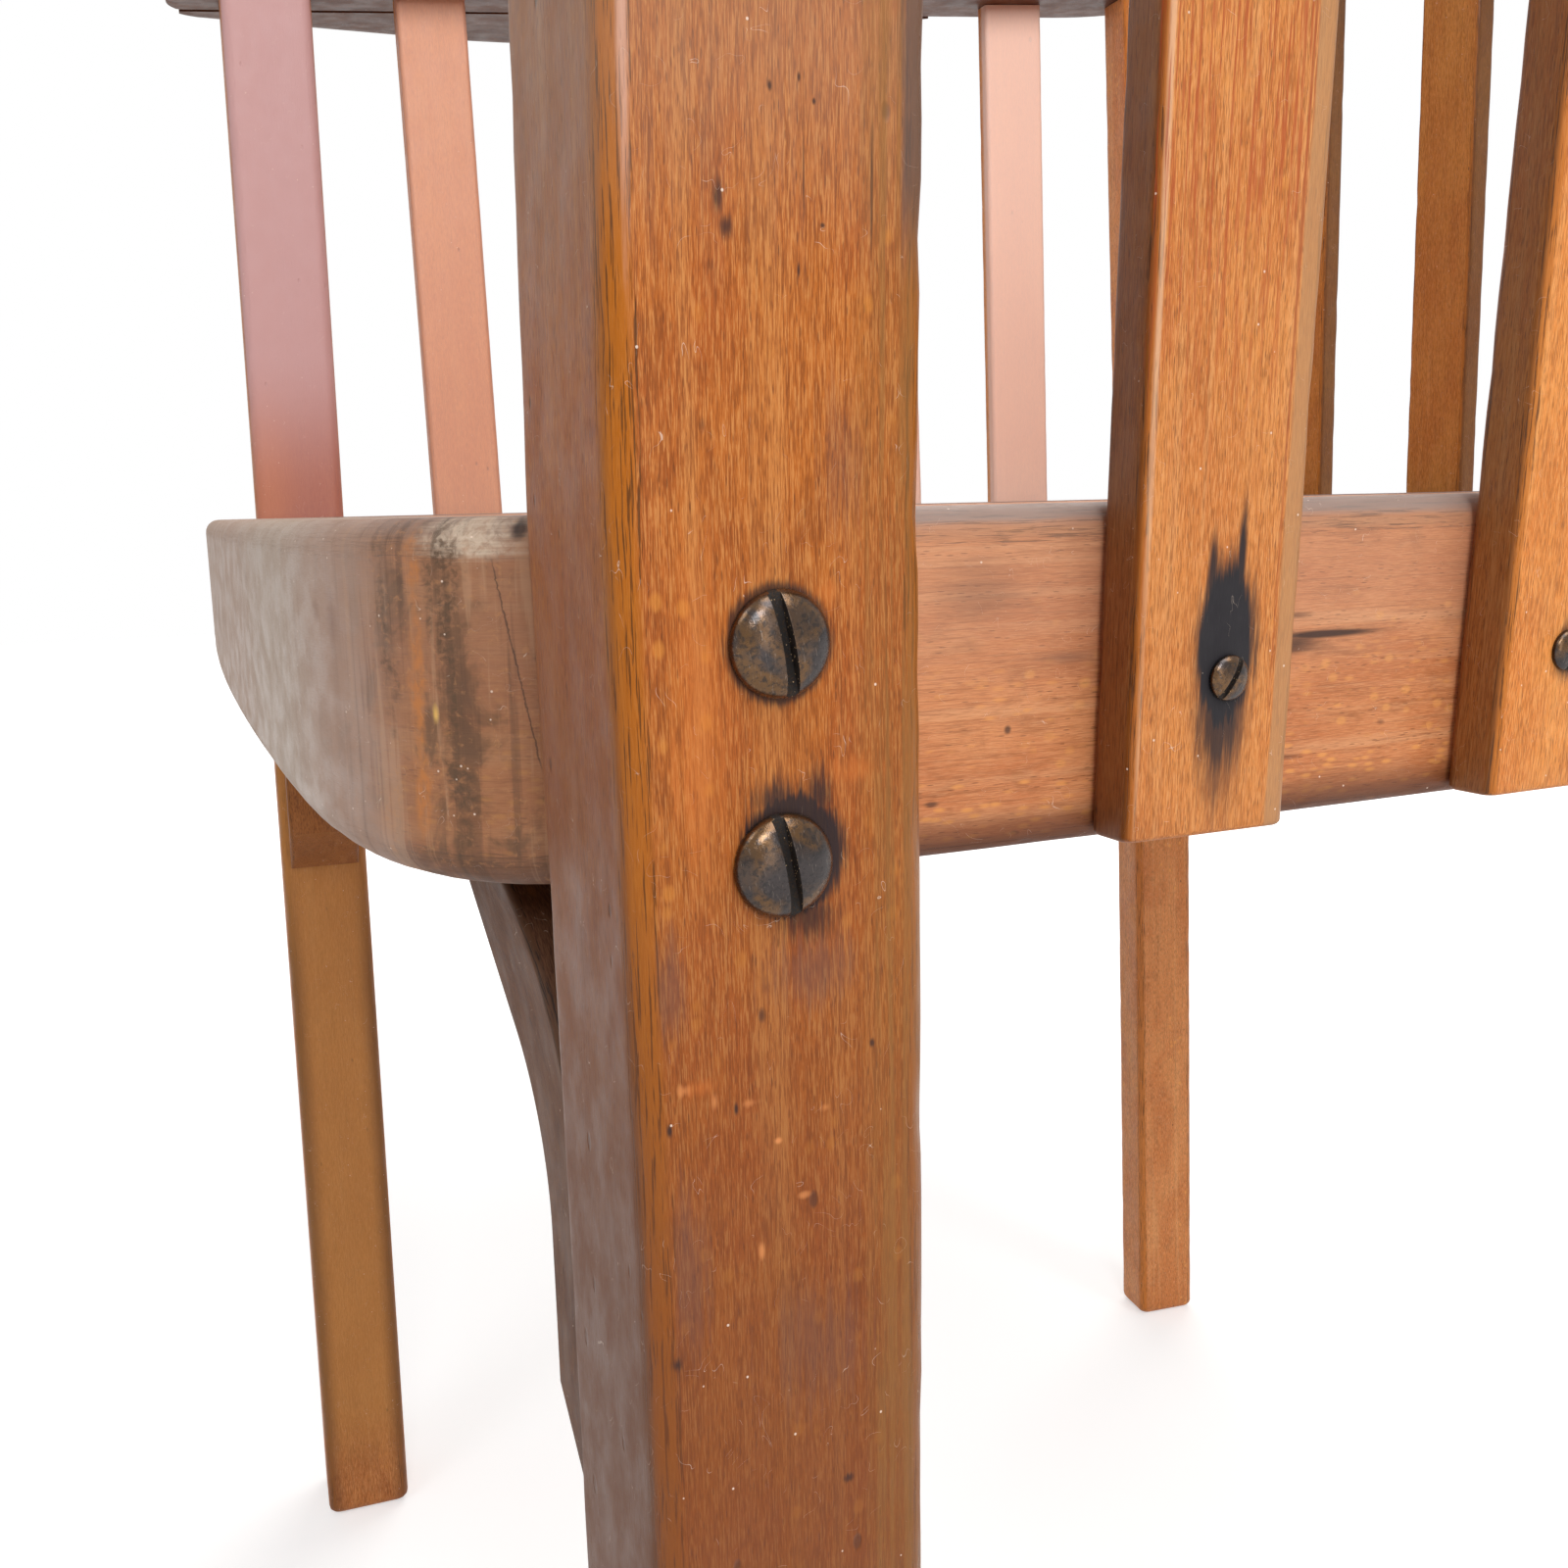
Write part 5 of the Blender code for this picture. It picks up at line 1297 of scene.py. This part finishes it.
def rail_paint(g):
    """The seat rail: flecks low on its face, a grey painted sheen along its top, painted shade along its
    bottom, a grey-beige painted sheen across its front, and bands of old stain at the front corners.
    """
    height, length = g.parts(g.place)[1:]
    rag = ragged(g, 0.8, 0.6)
    ragged_height = rag * 9.0 + height
    fleck = g.specks(g.grain, (0.85, 0.85, 0.30), (0.46, 0.12), (0.50, 0.60))
    g.lay(fleck * ragged_height.ramp(434.0, 414.0, 0.08, 0.78), srgb(222, 150, 82))
    g.lay(ragged_height.ramp(416.0, 438.0, 0.0, 0.34), srgb(192, 146, 120))
    # Painted sheen: the top edge is painted grey, as if it reflected the sky.
    g.lay((rag * 1.6 + height).ramp(446.6, 448.6) * 0.75, srgb(140, 128, 122))
    # Painted shade: the bottom edge is painted dark brown.
    g.lay((rag * 2.0 + height).ramp(408.0, 402.0) * 0.85, srgb(88, 46, 26))

    reach = abs(length)
    drips = g.noise(g.place, (0.0, 0.016, 0.33), 4.0, 0.62, 0.35)
    cloud = g.noise(g.place, (0.0, 0.10, 0.12), 4.0, 0.6, 0.6)
    grit = g.noise(g.place, (0.0, 0.9, 0.7), 4.0, 0.65, 0.5)
    wander = (drips - 0.5) * 16.0 + reach
    front = wander.ramp(256.0, 249.0)
    g.lay(front * 0.62, srgb(128, 88, 62))
    g.lay(front * cloud.ramp(0.5, 0.66, 0.0, 0.7), srgb(92, 66, 46))
    # Painted sheen: the front face is painted grey-beige, as it looks at a grazing angle against the bright
    # room, with a soft mottle.
    g.lay(wander.ramp(228.0, 212.0) * length.ramp(60.0, 140.0, 0.7, 0.8), srgb(166, 132, 112))
    sheen_mottle = wander.ramp(214.0, 156.0) * cloud.ramp(0.66, 0.40, 0.82, 0.92)
    g.lay(sheen_mottle * length.ramp(60.0, 140.0, 0.5, 1.0), srgb(172, 148, 128))
    streaky = front * reach.ramp(200.0, 226.0, 0.12, 1.0)
    g.lay(streaky * drips.ramp(0.52, 0.62, 0.0, 0.45), srgb(78, 54, 40))
    g.lay(streaky * drips.ramp(0.46, 0.38, 0.0, 0.40), srgb(190, 146, 112))
    flaked = front * grit.ramp(0.56, 0.70, 0.0, 0.45)
    g.lay(flaked * reach.ramp(212.0, 224.0), srgb(186, 130, 84))
    # A creamy white patch on the top edge by the front corner, broken up by grit.
    pale_top_patch = marks(g, RAIL_FACE, rag, [(447.5, 239.0, 4.2, 11.0, 0.85, 1.0, 0.2)])
    g.lay(pale_top_patch * grit.ramp(0.36, 0.60, 0.45, 1.0), srgb(212, 190, 166))
    g.lay(marks(g, RAIL_FACE, rag, [(425.0, 251.0, 30.0, 3.0, 0.6, 1.0, 0.2)]), srgb(184, 142, 122))
    haze = marks(g, RAIL_FACE, rag, (
        (438.0, 311.0, 6.5, 10.0, 0.45, 1.0, 0.1),
        (428.0, 326.0, 1.2, 8.0, 0.5, 1.0, 0.1),
        (436.0, 205.0, 6.0, 4.0, 0.4, 1.0, 0.1),
        (437.0, 196.0, 3.0, 3.0, 0.4, 1.0, 0.1),
    ))
    g.lay(haze, srgb(126, 88, 70))
    smear = (cloud - 0.5) * 3.2
    warm = marks(g, RAIL_FACE, smear, [(425.0, 229.6, 30.0, 2.2, 0.8, 1.0, 0.1)])
    g.lay(warm * g.noise(g.place, (0.0, 0.5, 0.9), 3.0, 0.6).ramp(0.36, 0.60, 0.25, 1.0), srgb(192, 118, 58))
    g.lay(marks(g, RAIL_FACE, smear, [(424.0, 232.6, 2.2, 1.0, 0.9, 0.5, 0.3)]), srgb(228, 180, 98))
    stain = marks(g, RAIL_FACE, smear, (
        (437.0, 223.0, 15.0, 3.6, 0.8, 1.0, 0.15),
        (428.0, 236.0, 34.0, 4.2, 0.8, 1.0, 0.15),
        (440.0, 232.6, 9.0, 1.2, 0.7, 1.0, 0.15),
    ))
    g.lay(stain * grit.ramp(0.38, 0.62, 1.0, 0.35), srgb(72, 54, 36))

    crack = g.vector("SUBTRACT", g.place, (0.0, 446.0, 242.4))
    crack = g.vector("DOT_PRODUCT", crack, (0.0, 0.19, 0.98), "Value")
    crack = abs((grit - 0.5) * 0.8 + crack).ramp(0.20, 0.04)
    crack = crack * marks(g, RAIL_FACE, rag, [(430.0, 245.0, 17.0, 6.0, 0.62, 0.0, 0.8)])
    return crack | marks(g, RAIL_FACE, ragged(g, 1.2, 0.45), (
        (427.6, 367.0, 2.6, 11.0, 0.78, 1.0, 0.1),
        (428.8, 374.5, 1.0, 15.5, 0.9, 0.5, 0.3),
        (432.0, 368.0, 0.8, 5.0, 0.5, 0.5, 0.1),
        (418.0, 316.2, 0.9, 0.8, 0.75, 0.0, 0.3),
        (408.0, 304.0, 0.7, 1.6, 0.7, 1.0, 0.2),
        (409.5, 368.0, 0.7, 5.0, 0.5, 0.5, 0.1),
        (448.5, 246.5, 2.2, 1.6, 0.8, 1.0, 0.2),
    ))


def screw_metal():
    """Old bronzed steel: dark, mottled and scratched, a little golden in places, and darkened with painted
    shade low round the dome's rim.
    """
    g = Graph(bpy.data.materials.new("screw_metal"))
    grain = g.millimetres("grain")
    cloud = g.noise(grain, (0.14, 0.14, 0.14), 3.0, 0.55, 0.6)
    mottle = g.noise(grain, (1.5, 1.5, 1.5), 4.0, 0.65, 0.4)
    fine = g.noise(grain, (5.5, 5.5, 5.5), 3.0, 0.6)
    scratch = g.noise(grain, (7.0, 0.7, 2.0), 2.0, 0.6, 0.8)
    g.colour = srgb(46, 38, 37)
    g.lay(cloud.ramp(0.44, 0.60), srgb(92, 62, 28))
    g.lay(mottle.ramp(0.46, 0.64, 0.0, 0.75), srgb(26, 20, 19))
    g.lay(scratch.ramp(0.64, 0.69, 0.0, 0.35), srgb(150, 134, 122))
    # Painted shade: the head is darkened low on its dome, towards the rim.
    rise = g.parts(g.millimetres("place"))[2]
    g.lay((mottle * 0.5 + rise).ramp(1.0, 0.5) * 0.9, srgb(18, 13, 12))
    height = fine * 0.7 + scratch * 0.6 + mottle * 1.5
    settings = {"Metallic": 0.85, "Coat Weight": 0.7, "Coat Roughness": 0.14, "Coat IOR": 1.4}
    return g.finish(mottle.ramp(0.35, 0.7, 0.15, 0.36), height, 0.5, 0.00003, settings)


def slot_dirt_and_shade():
    """A screw's slot: near-black painted shade in the recess, with grease and grit and a few bright crumbs."""
    g = Graph(bpy.data.materials.new("slot_dirt_and_shade"))
    grain = g.millimetres("grain")
    grit = g.noise(grain, (4.5, 4.5, 4.5), 3.0, 0.6)
    crumb = g.specks(grain, (2.6, 2.6, 2.6), (0.22, 0.14), (0.80, 0.84))
    # Painted shade: the slot's recess is near black.
    g.colour = srgb(24, 18, 15)
    g.lay(grit.ramp(0.5, 0.68, 0.0, 0.6), srgb(74, 54, 36))
    g.lay(crumb, srgb(206, 170, 128))
    rough = grit.ramp(0.3, 0.7, 0.45, 0.85)
    return g.finish(rough, grit + crumb, 0.7, 0.00015, {"Specular IOR Level": 0.25})


# Each wood's tones in a photograph: its base, its deep and pale streaks, and its worn edges
far_leg_tones = ((200, 122, 62), (180, 102, 48), (220, 156, 98), (186, 104, 26))
near_leg_tones = ((176, 97, 34), (164, 82, 27), (206, 140, 78), (172, 96, 14))
near_slat_tones = ((208, 130, 64), (194, 112, 50), (224, 160, 100), (176, 98, 20))
slat_tones = ((222, 138, 64), (208, 120, 50), (234, 168, 102), (184, 104, 24))
back_slat_tones = ((202, 132, 58), (188, 114, 44), (212, 150, 88), (164, 94, 20))
back_leg_tones = ((232, 150, 86), (216, 128, 66), (240, 182, 124), (204, 120, 44))
rail_tones = ((206, 134, 86), (190, 114, 68), (224, 168, 122), (150, 104, 72))
# Painted shade: the bow's tones are darkened to match its underside, which lies in shade.
shaded_bow_tones = ((104, 60, 32), (86, 46, 24), (124, 79, 48), (100, 57, 18))
# Painted shade: both braces' tones are darkened, as they lie in shade under the rail, the right one most.
shaded_brace_tones = ((104, 66, 42), (88, 52, 32), (124, 86, 60), (80, 48, 24))
shaded_far_brace_tones = ((156, 94, 44), (136, 78, 36), (172, 112, 62), (136, 80, 32))


def slat_wood(name, tones, paint):
    return wood(name, tones, spots=0.2, mottle=0.3, paint=paint)


near_leg_wood = wood("near_leg_beech", near_leg_tones, gloss=0.25, paint=near_leg_paint)
far_leg_wood = wood("far_leg_beech", far_leg_tones, spots=0.3, polish=0.0, paint=far_leg_paint)
back_leg_wood = wood("back_leg_beech", back_leg_tones)
rail_wood = wood("rail_beech", rail_tones, 0.6, 0.4, coarse=0.26, polish=-0.08, paint=rail_paint)
panel_wood = wood("panel_beech", rail_tones, 0.5, 0.3, coarse=0.45)
shaded_brace_wood = wood("brace_beech", shaded_brace_tones, polish=0.0, matt=0.16)
shaded_far_brace_wood = wood("far_brace_beech", shaded_far_brace_tones, polish=0.0, matt=0.16)
shaded_bow_wood = wood("shaded_bow_beech", shaded_bow_tones)

right_slat_wood = slat_wood("slat_beech", slat_tones, slat_paint)
near_slat_wood = slat_wood("near_slat_beech", near_slat_tones, near_slat_paint)
back_slat_wood = slat_wood("back_slat_beech", back_slat_tones, slat_paint)
# The left slats' inner faces get a painted sheen, strongest on the two at the back.
pale_slat_wood = slat_wood("pale_slat_beech", slat_tones, painted_sheen(srgb(214, 160, 138), 0.72))
palest_slat_wood = slat_wood("palest_slat_beech", slat_tones, painted_sheen(srgb(244, 206, 190), 0.82))

make_seat(rail_wood, panel_wood)
make_legs({"left": far_leg_wood, "right": near_leg_wood}, back_leg_wood)
make_slats({
    "left": [pale_slat_wood] * 3 + [palest_slat_wood] * 2,
    "right": [near_slat_wood] + [right_slat_wood] * 4,
    "back": [back_slat_wood] * 5,
})
make_braces({"left": shaded_far_brace_wood, "right": shaded_brace_wood})
make_bow(shaded_bow_wood)
make_wings(shaded_bow_wood)
make_crest(shaded_bow_wood)
make_screws(screw_metal(), slot_dirt_and_shade())


# Floor, light and camera

WHITE = (1.0, 1.0, 1.0)
FLOOR_HALF = 6.0
FLOOR_DROP = 0.0002
FLOOR_COLOUR = (0.72, 0.71, 0.70)
GLOW_START = 0.5
GLOW_END = 2.2
GLOW_LEVEL = 0.50
SKY_COLOUR = (0.96, 0.98, 1.0)
SKY_LEVEL = 0.40
LAMP_AIM = Vector((0.0, 0.0, SEAT_HEIGHT))
CAMERA_PLACE = Vector((0.43835, -0.27410, 0.45056))
CAMERA_AZIMUTH = 68.0225
CAMERA_PITCH = 10.2263
CAMERA_ROLL = math.radians(-1.2993)
CAMERA_LENS = 35.4445
SENSOR_WIDTH = 36.0
NEAREST_SEEN = 0.005
FURTHEST_SEEN = 50.0


def make_floor():
    """A wide pale floor. Seen directly it is white, and the chair's soft shadow stays on it."""
    bm = bmesh.new()
    bmesh.ops.create_grid(bm, x_segments=8, y_segments=8, size=FLOOR_HALF)
    floor = add_object("floor", mesh_from(bm, "floor"))
    floor.location.z = -FLOOR_DROP
    g = Graph(bpy.data.materials.new("pale_floor"))
    diffuse = g.add("ShaderNodeBsdfDiffuse", {"Color": FLOOR_COLOUR})
    away = g.length(g.add("ShaderNodeNewGeometry", {}, "Position"))
    glow = {"Color": WHITE, "Strength": away.ramp(GLOW_START, GLOW_END, GLOW_LEVEL, 1.0)}
    lit = g.add("ShaderNodeAddShader", {0: diffuse, 1: g.add("ShaderNodeEmission", glow)})
    camera = g.add("ShaderNodeLightPath", {}, "Is Camera Ray")
    seen = camera | camera.output("Is Glossy Ray")
    g.surface(g.add("ShaderNodeMixShader", {0: seen, 1: diffuse, 2: lit}))
    floor.data.materials.append(g.owner)


def make_world():
    """Soft light from all sides. Seen directly, reflected or through glass, it is plain white."""
    world = bpy.data.worlds.new("soft_room")
    bpy.context.scene.world = world
    g = Graph(world)
    soft = g.add("ShaderNodeBackground", {"Color": SKY_COLOUR, "Strength": SKY_LEVEL})
    white = g.add("ShaderNodeBackground", {"Color": WHITE, "Strength": 1.0})
    camera = g.add("ShaderNodeLightPath", {}, "Is Camera Ray")
    seen = camera | camera.output("Is Glossy Ray") | camera.output("Is Transmission Ray")
    g.surface(g.add("ShaderNodeMixShader", {0: seen, 1: soft, 2: white}), "ShaderNodeOutputWorld")


def direction(azimuth, elevation):
    """From the chair towards something at these degrees. Azimuth 0 is the front, and 90 the right side."""
    a, e = math.radians(azimuth), math.radians(elevation)
    return Vector((math.sin(a) * math.cos(e), -math.cos(a) * math.cos(e), math.sin(e)))


def make_lamp(name, azimuth, elevation, distance, size, level, colour):
    """A flat lamp turned to the chair. level is how bright it alone makes a white surface that faces it."""
    back = direction(azimuth, elevation)
    data = bpy.data.lights.new(name, "AREA")
    data.shape = "RECTANGLE"
    data.size, data.size_y = size
    data.energy = level * (math.pi * distance) ** 2
    data.color = colour
    lamp = add_object(name, data)
    lamp.location = LAMP_AIM + back * distance
    lamp.rotation_euler = back.to_track_quat("Z", "Y").to_euler()


def make_camera():
    """The photograph's view of the chair."""
    data = bpy.data.cameras.new("camera")
    data.lens = CAMERA_LENS
    data.sensor_width = SENSOR_WIDTH
    data.clip_start = NEAREST_SEEN
    data.clip_end = FURTHEST_SEEN
    camera = add_object("camera", data)
    back = direction(CAMERA_AZIMUTH, CAMERA_PITCH)
    right = (-back).cross(Vector((0.0, 0.0, 1.0))).normalized()
    up = right.cross(-back)
    across = right * math.cos(CAMERA_ROLL) + up * math.sin(CAMERA_ROLL)
    upward = up * math.cos(CAMERA_ROLL) - right * math.sin(CAMERA_ROLL)
    turn = Matrix((across, upward, back)).transposed().to_4x4()
    camera.matrix_world = Matrix.Translation(CAMERA_PLACE) @ turn
    bpy.context.scene.camera = camera


make_floor()
make_world()
make_lamp("window", 98, 50, 1.9, (1.2, 1.2), 0.65, (1.0, 0.985, 0.96))
make_lamp("glint", 73, 24, 1.8, (0.4, 0.4), 0.27, (0.86, 0.93, 1.0))
make_lamp("fill", 24, 38, 1.8, (0.6, 0.6), 0.13, (0.90, 0.95, 1.0))
make_lamp("strip", 88, 4, 2.0, (0.3, 1.0), 0.06, WHITE)
make_lamp("rear", 235, 42, 2.2, (1.4, 1.4), 0.40, (1.0, 0.98, 0.95))
make_camera()
bpy.context.scene.view_settings.view_transform = "Standard"
